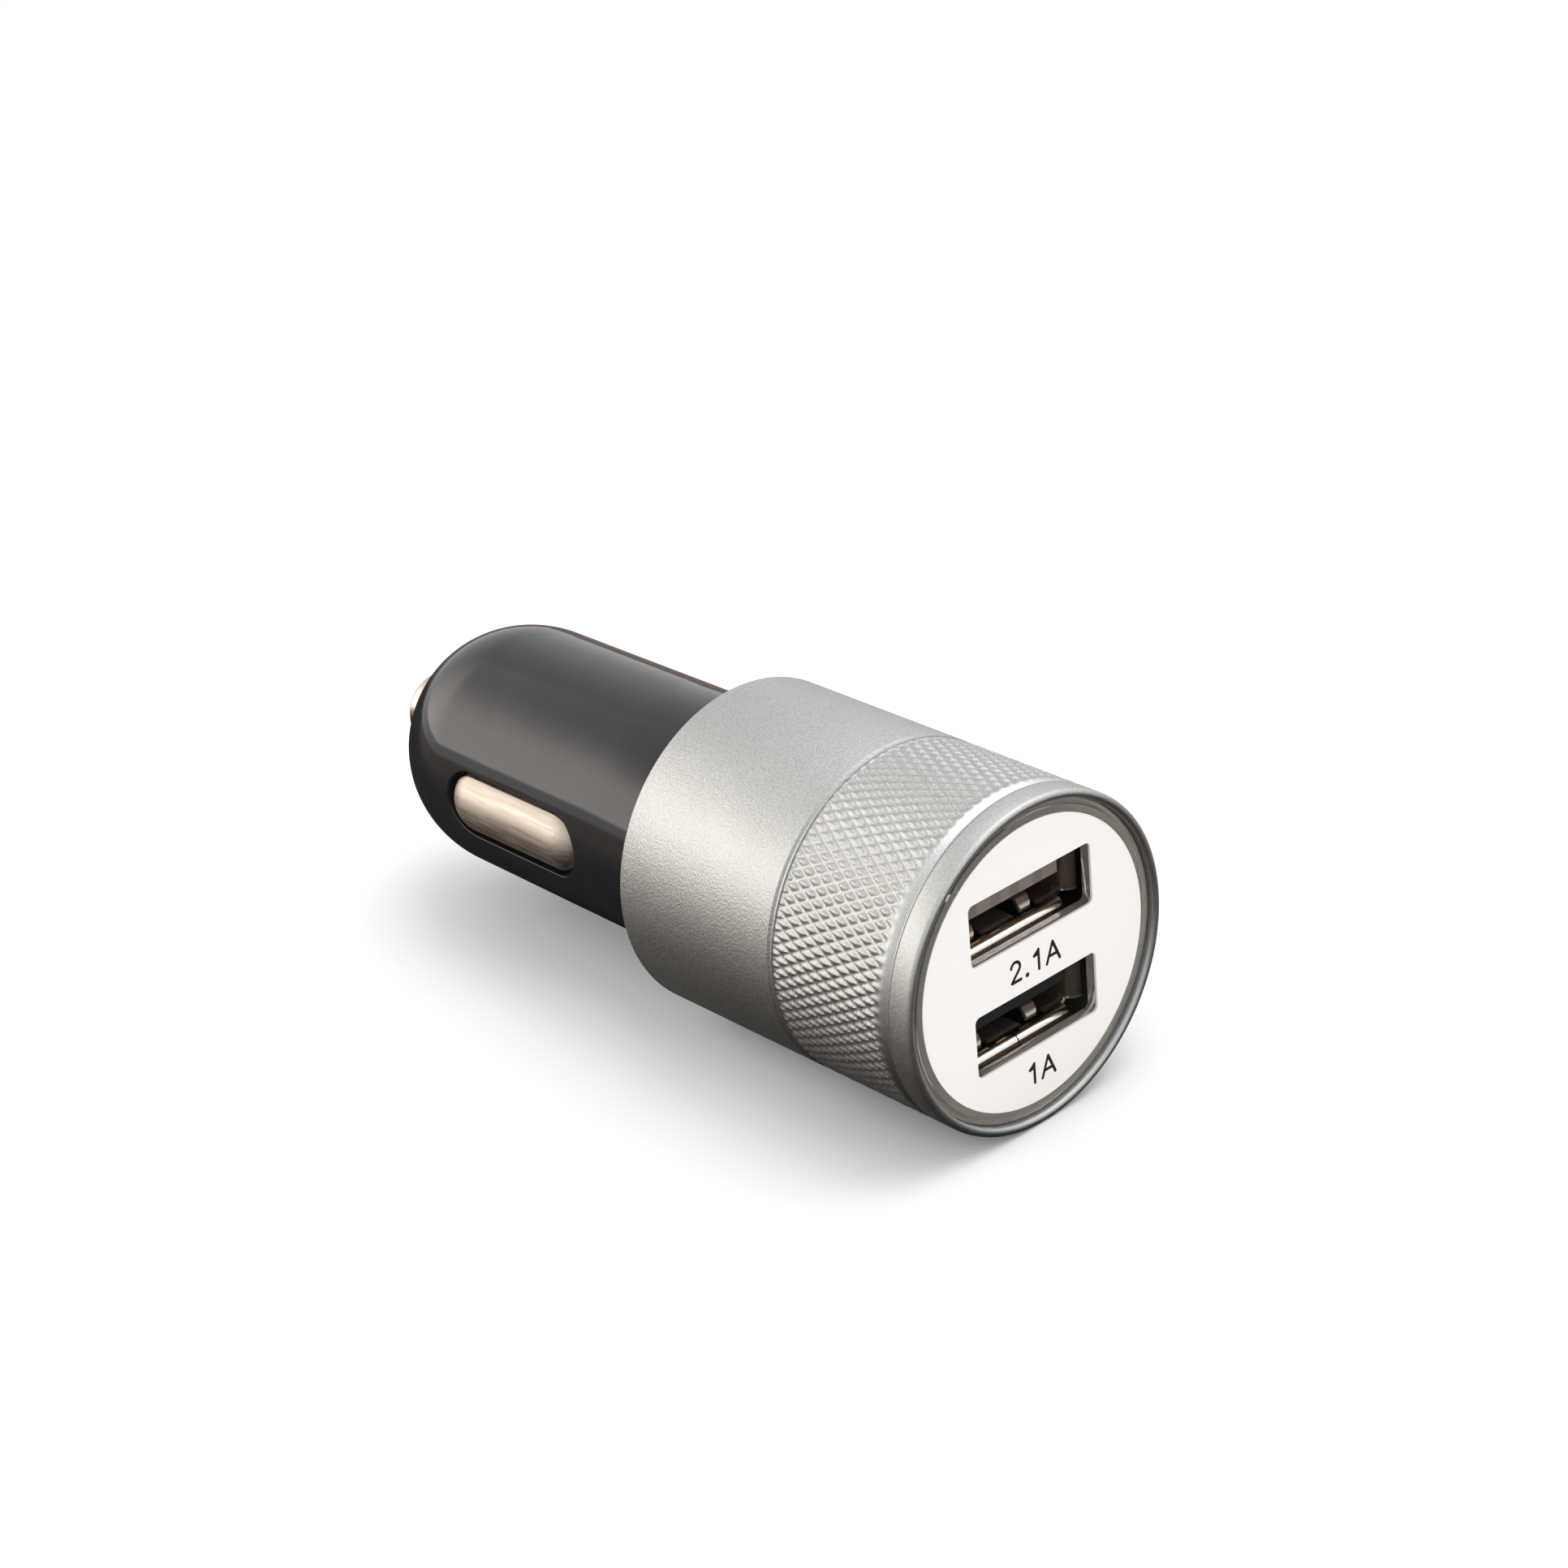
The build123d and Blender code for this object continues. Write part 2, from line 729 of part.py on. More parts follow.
# Components under the main board
chip_top = -board_top - chip_standoff
chip_bottom = chip_top - chip_height
chip_body = block(
    (-chip_width / 2, chip_width / 2),
    (wide_middle - chip_length / 2, wide_middle + chip_length / 2),
    (chip_bottom, chip_top),
)
save(chamfer(chip_body.faces().sort_by(Axis.Z)[0].edges(), chip_edge), "converter_chip")
chip_shoulder = (chip_top + chip_bottom) / 2
leads = []
for side in (-1, 1):
    for step in range(leads_per_side):
        lead_y = wide_middle + (step - (leads_per_side - 1) / 2) * lead_pitch
        leads.append(gull_lead(0, lead_y, side, chip_width / 2, chip_shoulder))
save(Compound(children=leads), "converter_leads")

diode_x = -chip_width / 2 - lead_reach - body_gap - diode_width / 2
diode_top = -board_top - lead_thickness
diode_body = block(
    (diode_x - diode_width / 2, diode_x + diode_width / 2),
    (wide_middle - diode_length / 2, wide_middle + diode_length / 2),
    (diode_top - diode_height, diode_top),
)
save(chamfer(diode_body.edges().filter_by(Axis.Z), chip_edge), "rectifier_diode")
diode_leads = []
for end in (-1, 1):
    lead_end = wide_middle + end * (diode_length / 2 + lead_foot)
    lead_start = wide_middle + end * (diode_length / 2 - lead_foot)
    diode_leads.append(
        block(
            (diode_x - diode_lead_width / 2, diode_x + diode_lead_width / 2),
            (min(lead_start, lead_end), max(lead_start, lead_end)),
            (diode_top, -board_top),
        )
    )
save(Compound(children=diode_leads), "diode_leads")

chip_row_x = chip_width / 2 + lead_reach + body_gap + resistor_size[0] / 2
save(chip_row(resistor_size, resistor_count, chip_row_x, wide_middle), "chip_resistors")
save(chip_row(chip_capacitor_size, chip_capacitor_count, 0, input_y), "chip_capacitors")

led_x = (port_inner_width / 2 + bore_radius) / 2
led = block(
    (led_x - led_size[1] / 2, led_x + led_size[1] / 2),
    (socket_board_front - led_size[2], socket_board_front),
    (-led_size[0] / 2, led_size[0] / 2),
)
save(led, "indicator_led")
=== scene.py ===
from math import pi, radians, sin

import bmesh
import bpy
import numpy as np
from bpy.props import FloatProperty, FloatVectorProperty, IntProperty, PointerProperty
from bpy.types import Operator, Panel, PropertyGroup
from mathutils import Matrix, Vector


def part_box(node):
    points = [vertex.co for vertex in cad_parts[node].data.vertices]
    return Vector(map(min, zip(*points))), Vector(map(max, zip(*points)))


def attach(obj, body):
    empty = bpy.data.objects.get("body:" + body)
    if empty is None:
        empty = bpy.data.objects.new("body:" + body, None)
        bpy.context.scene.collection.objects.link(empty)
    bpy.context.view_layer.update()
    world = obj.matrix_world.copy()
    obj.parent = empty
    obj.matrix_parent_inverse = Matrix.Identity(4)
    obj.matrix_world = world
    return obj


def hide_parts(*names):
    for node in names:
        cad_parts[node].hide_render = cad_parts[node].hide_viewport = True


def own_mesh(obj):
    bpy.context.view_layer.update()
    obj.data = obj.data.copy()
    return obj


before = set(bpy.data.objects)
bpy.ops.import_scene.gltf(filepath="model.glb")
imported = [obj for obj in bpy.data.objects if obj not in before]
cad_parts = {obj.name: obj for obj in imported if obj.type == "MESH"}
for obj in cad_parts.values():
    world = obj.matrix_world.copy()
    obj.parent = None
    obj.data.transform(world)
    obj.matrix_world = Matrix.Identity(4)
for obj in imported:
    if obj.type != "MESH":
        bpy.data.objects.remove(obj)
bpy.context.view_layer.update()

bl_info = {
    "name": "Car USB charger plug",
    "version": (1, 0, 0),
    "blender": (4, 5, 0),
    "location": "View3D > Sidebar > Charger",
    "description": "Dresses the solids of a car USB charger plug and sets its stage",
    "category": "Add Mesh",
}

MM = 0.001
MERGE_GAP = 0.001 * MM
THIN_EDGE = 0.0001 * MM
TINY = 1e-9
CLOSE = 1e-6
WHITE = (1, 1, 1)
EVEN = (1, 1, 1)

# Printed signs of the two ratings, each with its place across the face in millimetres
UPPER_MARK = (("two", -2.5), ("stop", -0.82), ("one", 0.45), ("A", 1.28))
LOWER_MARK = (("one", -0.67), ("A", 0.15))

# Places of a port's four contacts across the plug, and the half-widths within which the stripe of a contact
# is full and beyond which it is gone, in millimetres
CONTACT_PLACES = (-3.9, -1.4, 0.6, 3.1)
STRIPE_EDGE = (0.42, 0.58)


def number(description, default, **options):
    """Property of one number."""
    return FloatProperty(description=description, default=default, **options)


def length(description, millimetres):
    """Length property with a default in millimetres."""
    return number(description, millimetres * MM, unit="LENGTH", precision=6)


def share(description, default):
    """Property between 0 and 1."""
    return number(description, default, min=0, max=1, subtype="FACTOR")


def angle(description, degrees):
    """Angle property with a default in degrees."""
    return number(description, radians(degrees), subtype="ANGLE")


def count(description, default):
    """Property of a whole number."""
    return IntProperty(description=description, default=default, min=1)


def colour(description, default):
    """Linear colour property."""
    return FloatVectorProperty(description=description, default=default, size=3, subtype="COLOR")


def direction(description, default):
    """Property of a direction in the plug's frame."""
    return FloatVectorProperty(description=description, default=default, size=3)


def low(node, axis):
    """Lower limit of a solid along an axis, in millimetres."""
    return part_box(node)[0][axis] / MM


def high(node, axis):
    """Upper limit of a solid along an axis, in millimetres."""
    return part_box(node)[1][axis] / MM


def named(group):
    """Names each property of a group as its identifier reads."""
    for key, deferred in group.__annotations__.items():
        deferred.keywords["name"] = key.replace("_", " ").capitalize()
    return group


@named
class SleeveSizes(PropertyGroup):
    """Turned and knurled aluminium sleeve"""

    radius: length("Outside of the sleeve", high("sleeve", 0))
    front: length("Station of the front lip's crest", low("sleeve", 1))
    bore: length("Radius of the bore", 12.4)
    mouth: length("Radius of the seat for the clear face", 12.75)
    mouth_depth: length("Depth of the seat for the clear face", 1.4)
    lip_round: length("Rounding of the front lip's two edges", 0.34)
    scribe: length("Distance of the scribed line behind the front", 2.0)
    scribe_depth: length("Depth of the scribed line", 0.14)
    scribe_half: length("Half-width of the scribed line", 0.05)
    collar: length("Length of the plain collar at the front", 2.15)
    collar_groove: length("Depth of the groove behind the collar", 0.5)
    run_in: length("Length of a groove's steep side", 0.1)
    chamfer_end: length("Distance of the knurl's chamfer behind the front", 3.05)
    knurl_end: length("Distance of the knurl's end behind the front", 14.25)
    land_end: length("Distance of the rear groove behind the front", 14.5)
    rear_groove: length("Depth of the groove behind the knurl", 0.3)
    rear_groove_width: length("Width of the groove behind the knurl", 0.35)
    rear_round: length("Rounding of the rear shoulder", 0.25)
    lip_hole: length("Radius of the hole in the rear lip", 10.55)
    lip_thickness: length("Thickness of the rear lip", 1.4)
    knurl_depth: length("Depth of the knurl's grooves", 0.22)
    knurl_run: length("Length over which the grooves deepen behind the chamfer", 0.5)
    knurl_pitch: length("Length of one diamond along the sleeve", 1.82)
    knurl_flat: share("Share of a diamond that is left flat on top", 0.26)
    knurl_starts: count("Diamonds round the sleeve", 86)
    knurl_cells: count("Mesh cells across one diamond", 8)
    edge_round: length("Rounding of the turned edges", 0.03)
    # Handling wear and a painted highlight on the front lip's crest and the knurl's chamfer
    crest_width: length("Reach of the rubbing behind the front lip's crest", 0.14)
    rubbing: share("How far handling brightens the crest and the chamfer", 0.6)
    knurl_blasting: share("Depth of the blasting on the knurl and the lip", 0.3)
    collar_blasting: share("Depth of the blasting on the collar", 0.6)


@named
class BodySizes(PropertyGroup):
    """Moulded black plug body"""

    radius: length("Radius of the barrel's land", 10.5)
    land: length("Length of the barrel's land", 8.0)
    barrel: length("Station where the nose begins", 26.8)
    end_radius: length("Radius where the nose begins", 10.38)
    bore: length("Radius of the barrel's bore", 8.88)
    wall: length("Thickness of the moulded wall", 1.5)
    nose: length("Length of the nose's dome", 9.85)
    nose_inset: length("Radius from which the dome is swept", 2.0)
    nose_flat: length("Width of the flat round the tip's hole", 0.35)
    tip_hole: length("Radius of the tip's hole", 3.35)
    chamber: length("Radius of the spring's chamber", 4.9)
    chamber_end: length("Station of the chamber's front", 34.25)
    boss: length("Outside radius of the spring's boss", 6.1)
    boss_back: length("Station of the boss's rear edge", 24.25)
    neck: length("Radius of the neck inside the rear lip", 10.1)
    flange: length("Radius of the flange inside the sleeve", 12.35)
    flange_back: length("Station of the flange's rear face", -1.4)
    flange_front: length("Station of the flange's front face", low("plug_body", 1))
    slot_centre: length("Station of the slots' middle", 17.35)
    slot_length: length("Length of a slot", 16.3)
    slot_width: length("Width of a slot", 5.9)
    slot_round: length("Rounding of a slot's edge", 0.14)
    edge_round: length("Rounding of moulded edges", 0.12)
    columns: count("Mesh columns round the barrel", 192)
    patch_rows: count("Mesh rows along the patch round a slot", 30)
    patch_rings: count("Mesh rings between a slot and its patch's border", 16)


@named
class FaceSizes(PropertyGroup):
    """Clear face, its label and the printed ratings"""

    front: length("Station of the label's front", low("face_label", 1))
    label_back: length("Station of the label's back", high("face_label", 1))
    back: length("Station of the face's back", high("clear_face", 1))
    label_radius: length("Radius of the label", high("face_label", 0))
    radius: length("Radius of the clear face", high("clear_face", 0))
    recess_gap: length("Gap round and behind the label", 0.03)
    step_width: length("Width of the step at the rim", 0.45)
    step_depth: length("Depth of the step at the rim", 0.25)
    edge_round: length("Rounding of the rim's edges", 0.06)
    window_width: length("Width of a port's window", 12.9)
    window_height: length("Height of a port's window", 5.15)
    window_corner: length("Rounding of a window's corners", 0.5)
    upper_height: length("Height of the upper port above the axis", 4.92)
    lower_height: length("Height of the lower port above the axis", -4.40)
    rim_rays: count("Even mesh rays from a window to the rim", 180)
    mark_height: length("Height of the printed figures", 1.65)
    mark_stroke: length("Width of the printed strokes", 0.25)
    mark_thickness: length("Thickness of the ink", 0.012)
    mark_lap: share("Share of the ink's thickness that each further stroke stands out", 0.1)
    upper_mark_base: length("Height of the upper mark's base line", -0.62)
    lower_mark_base: length("Height of the lower mark's base line", -9.94)
    # Painted shade in the port shells: where it starts behind the mouth, and its heights about a port's
    # middle
    bright_depth: length("Depth of a port shell's bright mouth", 0.9)
    shade_run: length("Length over which a shell turns dull behind its mouth", 0.8)
    shade_height: length("Height from a port's middle up to which its shell is dull", 2.0)
    bright_height: length("Height from a port's middle above which its shell is bright", 2.3)


@named
class ContactSizes(PropertyGroup):
    """Sprung tip and side contacts"""

    tip_radius: length("Radius of the tip", 3.3)
    tip_dome: length("Height of the tip's dome", 1.8)
    tip_end: length("Station of the tip's end", high("tip_contact", 1))
    tip_flange: length("Radius of the tip's flange", high("tip_contact", 0))
    tip_columns: count("Mesh columns round the tip", 96)
    flange_front: length("Station of the flange's front face", 34.15)
    flange_thickness: length("Thickness of the tip's flange", 1.2)
    stem_radius: length("Radius of the tip's stem", 1.6)
    stem_back: length("Station of the stem's end", low("tip_contact", 1))
    edge_round: length("Rounding of turned edges", 0.1)
    crown: length("Reach of the side contact's crown", high("ground_contact_right", 0))
    crown_radius: length("Radius of the side contact's section", 3.05)
    pad_width: length("Width of the side contact", 5.0)
    pad_straight: length("Straight length of the side contact", 10.4)
    sheet: length("Thickness of the drawn sheet", 0.4)
    side_flange: length("Outer radius of the curved flange", 8.58)
    side_flange_length: length("Length of the curved flange", 18.3)
    side_flange_height: length("Height of the curved flange", 7.9)
    wire_radius: length("Radius of the tip spring's wire", 0.3)
    wire_columns: count("Mesh columns round the wire", 14)
    coil_radius: length("Mean radius of the tip's spring", 2.6)
    coil_turns: count("Turns of the tip's spring", 6)
    coil_steps: count("Mesh rings in one turn of the spring", 60)
    leaf_thickness: length("Thickness of the leaf springs", 0.25)
    leaf_bow: length("Length of a leaf between its feet", 10.0)
    leaf_crown: length("Length of a leaf's flat crown", 3.0)
    leaf_bend: length("Radius of a leaf's bends", 1.0)


@named
class FinishColours(PropertyGroup):
    """Colours of the finishes, in linear values"""

    aluminium: colour("Blasted and anodised sleeve", (0.445, 0.455, 0.445))
    black: colour("Polished barrel", (0.012, 0.012, 0.0125))
    clear: colour("Clear face", (0.76, 0.70, 0.635))
    label: colour("Warm white film", (0.90, 0.868, 0.835))
    ink: colour("Printed ratings", (0.012, 0.011, 0.011))
    nickel: colour("Plated contacts", (0.52, 0.465, 0.395))
    sheet: colour("Plated port shells", (0.84, 0.76, 0.66))
    # Painted shade inside the port shells and on their fingers
    shaded_sheet: colour("Inside of the port shells", (0.125, 0.09, 0.07))
    # The upper tongue is a pale moulding; its colour here is darkened as a painted shade
    pale: colour("Upper tongue", (0.25, 0.21, 0.185))
    dark: colour("Lower tongue", (0.018, 0.018, 0.019))
    gold: colour("Flashed port contacts", (0.83, 0.62, 0.28))
    mask: colour("Circuit boards", (0.02, 0.16, 0.07))
    copper: colour("Inductor winding", (0.70, 0.30, 0.13))
    steel: colour("Springs and cans", (0.60, 0.60, 0.60))
    tin: colour("Caps of the chip components", (0.66, 0.66, 0.65))
    brass: colour("Tip terminal", (0.78, 0.60, 0.30))
    ferrite: colour("Inductor core", (0.06, 0.06, 0.065))
    ceramic: colour("Chip capacitors", (0.50, 0.36, 0.22))
    lens: colour("Indicator lens", (0.12, 0.11, 0.095))


@named
class StageSettings(PropertyGroup):
    """Floor, light and camera"""

    floor_level: length("Height of the floor", low("sleeve", 2))
    floor_size: length("Half-width of the floor", 4000)
    floor_colour: colour("Colour of the floor", (0.97, 0.97, 0.97))
    floor_lit: length("Distance within which the floor shows the lamps' light and the shadow", 180)
    floor_plain: length("Distance beyond which the floor is plain white where it is seen", 420)
    # Dark card that only mirrors see: painted shade for the undersides, darkest by the plug as a painted
    # shadow
    card_shadow: colour("Shade card that the undersides mirror, by the plug", (0.012, 0.009, 0.008))
    card_far: colour("Shade card away from the plug", (0.2, 0.15, 0.127))
    card_size: length("Radius of the shade card", 420)
    card_lift: length("Height of the dark card over the floor", 0.02)
    card_shadow_reach: length("Distance aside up to which the card is darkest", 20)
    card_light: length("Distance aside from which the card is lightest", 60)
    world_strength: number("Strength of the room's light", 0.85)
    aim: length("Station at which the lamps are aimed", 5)
    key_power: number("Power of the soft box", 0.75, unit="POWER")
    key_size: length("Width of the soft box", 330)
    key_side: direction("Where the soft box stands", (-0.66, 0.66, 0.36))
    key_distance: length("Distance of the lamps from the plug", 450)
    top_power: number("Power of the light overhead", 1.25, unit="POWER")
    top_size: length("Width of the light overhead", 520)
    top_side: direction("Where the light overhead stands", (0.4, -0.15, 0.9))
    glow: number("Brightness of the soft box in mirrors", 3.3)
    glow_colour: colour("Colour of the soft box in mirrors", (1, 0.92, 0.87))
    glow_top: share("Share of the glow that is left at the soft box's top", 0.27)
    glow_fades: angle("Rise from which the glow falls off", 22)
    glow_faded: angle("Rise from which only the top's glow is left", 48)
    glow_fades_aside: number("Place across, in shares of the distance, from which the glow falls off", -0.45)
    glow_faded_aside: number("Place across from which only the top's glow is left", 0.2)
    cloth_turn: angle("Bearing at which the soft box's cloth starts", 50)
    cloth_sweep: angle("Width of the cloth", 138)
    cloth_foot: angle("Rise at which the cloth starts", 4.6)
    cloth_rise: angle("Height of the cloth", 65)
    cloth_side: share("Share of the cloth's width that thins out at either side", 0.15)
    cloth_top: share("Share of the cloth's height that thins out at its top", 0.2)
    lens: number("Focal length", 81.64, unit="CAMERA")
    sensor: number("Width of the camera's sensor", 36, unit="CAMERA")
    near: length("Nearest distance that the camera sees", 10)
    far: length("Farthest distance that the camera sees", 20000)


@named
class ChargerSettings(PropertyGroup):
    """All sizes, colours and stage settings of the charger plug"""

    sleeve: PointerProperty(type=SleeveSizes)
    body: PointerProperty(type=BodySizes)
    face: PointerProperty(type=FaceSizes)
    contacts: PointerProperty(type=ContactSizes)
    colours: PointerProperty(type=FinishColours)
    stage: PointerProperty(type=StageSettings)


def settings():
    """Settings of the charger plug in the open scene."""
    return bpy.context.scene.charger


# Surfaces


def unit(vectors):
    """Vectors brought to the length of one."""
    return vectors / np.linalg.norm(vectors, axis=-1, keepdims=True)


def points(x, y, z):
    """Points whose coordinates are spread over one common grid."""
    return np.stack(np.broadcast_arrays(x, y, z), -1)


def rounded(corners, edge, steps=6):
    """Open profile through corners of (radius, station), each rounded by the edge or by its own third value.

    Each inner corner gives way to the arc of its round that touches both straight neighbours: the arc's
    centre lies on the bisector at round / sin(half angle), and its points turn evenly from one tangent
    point to the other.
    """
    corners = np.array([(*corner, edge)[:3] for corner in corners])
    middle, rounds = corners[1:-1, :2], corners[1:-1, 2:]
    before, after = unit(corners[:-2, :2] - middle), unit(corners[2:, :2] - middle)
    half = np.arccos(np.clip((before * after).sum(1, keepdims=True), -1, 1)) / 2
    centre = middle + unit(before + after) * rounds / np.sin(half)
    start, end = (middle + way * rounds / np.tan(half) - centre for way in (before, after))
    sweep = (pi - 2 * half)[:, None, :]
    part = np.linspace(0, 1, steps)[None, :, None]
    arcs = np.sin((1 - part) * sweep) * start[:, None] + np.sin(part * sweep) * end[:, None]
    arcs = centre[:, None] + arcs / np.sin(sweep)
    return np.concatenate([corners[:1, :2], arcs.reshape(-1, 2), corners[-1:, :2]])


def turned(radius, station, angles):
    """Grid of a profile turned about the Y axis: each point is (r cos a, y, r sin a)."""
    radius = np.reshape(radius, (len(station), -1))
    return points(radius * np.cos(angles), np.reshape(station, (-1, 1)), radius * np.sin(angles))


def full_turn(columns, start=0.0):
    """Even angles of a full turn."""
    return start + 2 * pi * np.arange(columns) / columns


def grid_faces(rows, columns, close_rows, close_columns):
    """Corner numbers of a grid's quads; a closed direction joins its last line to its first."""
    corners = np.arange(rows * columns).reshape(rows, columns)
    corners = np.pad(corners, ((0, int(close_rows)), (0, int(close_columns))), "wrap")
    quads = [corners[:-1, :-1], corners[1:, :-1], corners[1:, 1:], corners[:-1, 1:]]
    return np.stack(quads, -1).reshape(-1, 4)


def valley_first(faces, height):
    """Turns each quad so that the diagonal it is split on runs along its lower pair of corners."""
    first = height[faces[:, 0]] + height[faces[:, 2]]
    second = height[faces[:, 1]] + height[faces[:, 3]]
    return np.where((first <= second + TINY)[:, None], faces, np.roll(faces, -1, axis=1))


class Skin:
    """Grids of points whose edges meet, so that together they close round one piece."""

    def __init__(self):
        self.points, self.faces, self.count = [], [], 0

    def add(self, grid, close_rows=False, close_columns=True, height=None):
        """Adds a grid of rows and columns of points; where a height is given, its valleys stay sharp."""
        rows, columns = grid.shape[:2]
        faces = grid_faces(rows, columns, close_rows, close_columns)
        if height is not None:
            faces = valley_first(faces, height)
        self.points.append(grid.reshape(-1, 3))
        self.faces.append(faces + self.count)
        self.count += rows * columns
        return self

    def mesh(self, name, crease):
        """Mesh with its meeting edges merged, its faces turned outwards and its creases sharp."""
        corners, faces = np.concatenate(self.points), np.concatenate(self.faces)
        mesh = bpy.data.meshes.new(name)
        mesh.vertices.add(len(corners))
        mesh.vertices.foreach_set("co", corners.astype(np.float32).ravel())
        mesh.loops.add(faces.size)
        mesh.loops.foreach_set("vertex_index", faces.astype(np.int32).ravel())
        mesh.polygons.add(len(faces))
        mesh.polygons.foreach_set("loop_start", np.arange(0, faces.size, 4, dtype=np.int32))
        mesh.update(calc_edges=True)
        work = bmesh.new()
        work.from_mesh(mesh)
        bmesh.ops.remove_doubles(work, verts=work.verts, dist=MERGE_GAP)
        bmesh.ops.dissolve_degenerate(work, edges=work.edges, dist=THIN_EDGE)
        bmesh.ops.recalc_face_normals(work, faces=work.faces)
        work.to_mesh(mesh)
        work.free()
        mesh.polygons.foreach_set("use_smooth", np.ones(len(mesh.polygons), bool))
        mesh.set_sharp_from_angle(angle=radians(crease))
        return mesh


def coordinates(mesh):
    """X, Y and Z of a mesh's points."""
    flat = np.empty(len(mesh.vertices) * 3, np.float32)
    mesh.vertices.foreach_get("co", flat)
    return flat.reshape(-1, 3).T


def mark(mesh, name, values):
    """Keeps a value on each point of a mesh."""
    kept = mesh.attributes.new(name, "FLOAT", "POINT")
    kept.data.foreach_set("value", values.astype(np.float32))


def added(name, data):
    """New object of some data in the scene."""
    item = bpy.data.objects.new(name, data)
    bpy.context.scene.collection.objects.link(item)
    return item


def place(name, skin, finish, body="housing", node=None, crease=30):
    """Piece of a skin: it takes a finish, rides on a body and stands for a solid."""
    piece = added(name, skin.mesh(name, crease))
    piece.data.materials.append(finish)
    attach(piece, body)
    if node:
        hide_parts(node)
    return piece


def dress(finish, *nodes):
    """Gives a finish to solids that keep their own shape."""
    for node in nodes:
        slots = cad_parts[node].data.materials
        slots.clear()
        slots.append(finish)


# Finishes


class Value:
    """One socket on its way through a finish; arithmetic on it adds Math nodes."""

    def __init__(self, paint, socket):
        self.paint, self.socket = paint, socket

    def math(self, operation, *values):
        """Math node of an operation on some values."""
        return self.paint.node("ShaderNodeMath", dict(enumerate(values)), operation=operation)

    def __add__(self, other):
        return self.math("ADD", self, other)

    def __radd__(self, other):
        return self.math("ADD", other, self)

    def __sub__(self, other):
        return self.math("SUBTRACT", self, other)

    def __rsub__(self, other):
        return self.math("SUBTRACT", other, self)

    def __mul__(self, other):
        return self.math("MULTIPLY", self, other)

    def __rmul__(self, other):
        return self.math("MULTIPLY", other, self)

    def __truediv__(self, other):
        return self.math("DIVIDE", self, other)

    def __abs__(self):
        return self.math("ABSOLUTE", self)

    def sine(self):
        """Sine of the value."""
        return self.math("SINE", self)

    def largest(self, other):
        """The larger of two values."""
        return self.math("MAXIMUM", self, other)

    def about(self, middle, swing):
        """Swings about a middle as this pattern, from 0 to 1, swings about one half."""
        return middle + (self - 0.5) * swing

    def step(self, start, end):
        """0 below start and 1 above end, with a smooth rise between them."""
        sockets = {"Value": self, "From Min": start, "From Max": end}
        return self.paint.node("ShaderNodeMapRange", sockets, interpolation_type="SMOOTHSTEP")


class Paint:
    """Node tree of one finish, lamp room or floor."""

    COLOUR_INPUTS, COLOUR_OUTPUT = (6, 7), 2

    def __init__(self, owner):
        owner.use_nodes = True
        self.owner, self.tree = owner, owner.node_tree
        self.tree.nodes.clear()

    def node(self, kind, sockets=(), output=0, **options):
        """Adds a node: first its options, then the values or links of its sockets; gives one output."""
        made = self.tree.nodes.new(kind)
        for name, value in options.items():
            setattr(made, name, value)
        for name, value in dict(sockets).items():
            socket = made.inputs[name]
            if isinstance(value, Value):
                self.tree.links.new(value.socket, socket)
            elif socket.type == "RGBA":
                socket.default_value = (*value, 1)
            else:
                socket.default_value = value
        return Value(self, made.outputs[output]) if len(made.outputs) else None

    def coordinates(self):
        """Object coordinates, in metres."""
        return self.node("ShaderNodeTexCoord", output="Object")

    def axes(self):
        """Object coordinates apart, in millimetres."""
        point = self.coordinates()
        return [self.node("ShaderNodeSeparateXYZ", {0: point}, axis) / MM for axis in "XYZ"]

    def noise(self, size, detail=2, roughness=0.5, stretch=EVEN):
        """Noise whose blobs are about a size in millimetres across, longer along axes of a small stretch."""
        vector = self.node("ShaderNodeMapping", {"Vector": self.coordinates(), "Scale": stretch})
        sockets = {"Vector": vector, "Scale": 1 / (size * MM), "Detail": detail, "Roughness": roughness}
        return self.node("ShaderNodeTexNoise", sockets)

    def cells(self, size):
        """Cell pattern of about a size in millimetres."""
        return self.node("ShaderNodeTexVoronoi", {"Vector": self.coordinates(), "Scale": 1 / (size * MM)})

    def attribute(self, name):
        """A value kept on the piece's own points."""
        return self.node("ShaderNodeAttribute", output="Fac", attribute_name=name)

    def seen(self):
        """1 on rays that see, mirror or look through to a surface, and 0 on those that light others."""
        rays = ("Is Camera Ray", "Is Glossy Ray", "Is Transmission Ray")
        camera, mirror, through = (self.node("ShaderNodeLightPath", output=ray) for ray in rays)
        return camera.largest(mirror).largest(through)

    def blend(self, factor, first, second):
        """Colour between two colours."""
        sockets = {"Factor": factor, **dict(zip(self.COLOUR_INPUTS, (first, second)))}
        return self.node("ShaderNodeMix", sockets, self.COLOUR_OUTPUT, data_type="RGBA")

    def tones(self, pattern, shade, dark, light):
        """Colour that a pattern takes from a darker to a lighter tint of a shade."""
        return self.blend(pattern, tint(shade, dark), tint(shade, light))

    def bump(self, height, depth, strength):
        """Normal roughened by a height, with its depth in millimetres."""
        return self.node("ShaderNodeBump", {"Height": height, "Distance": depth * MM, "Strength": strength})

    def shader(self, **sockets):
        """Surface shader; names of sockets have underscores for spaces."""
        named_sockets = {name.replace("_", " "): value for name, value in sockets.items()}
        return self.node("ShaderNodeBsdfPrincipled", named_sockets)

    def end(self, shader):
        """Ends the finish with a shader."""
        self.node("ShaderNodeOutputMaterial", {"Surface": shader})
        return self.owner

    def surface(self, **sockets):
        """Ends the finish with one surface shader."""
        return self.end(self.shader(**sockets))


def finish(name):
    """New, empty finish."""
    return Paint(bpy.data.materials.new(name))


def tint(shade, factor):
    """A colour made lighter or darker."""
    return tuple(min(1.0, part * factor) for part in shade)


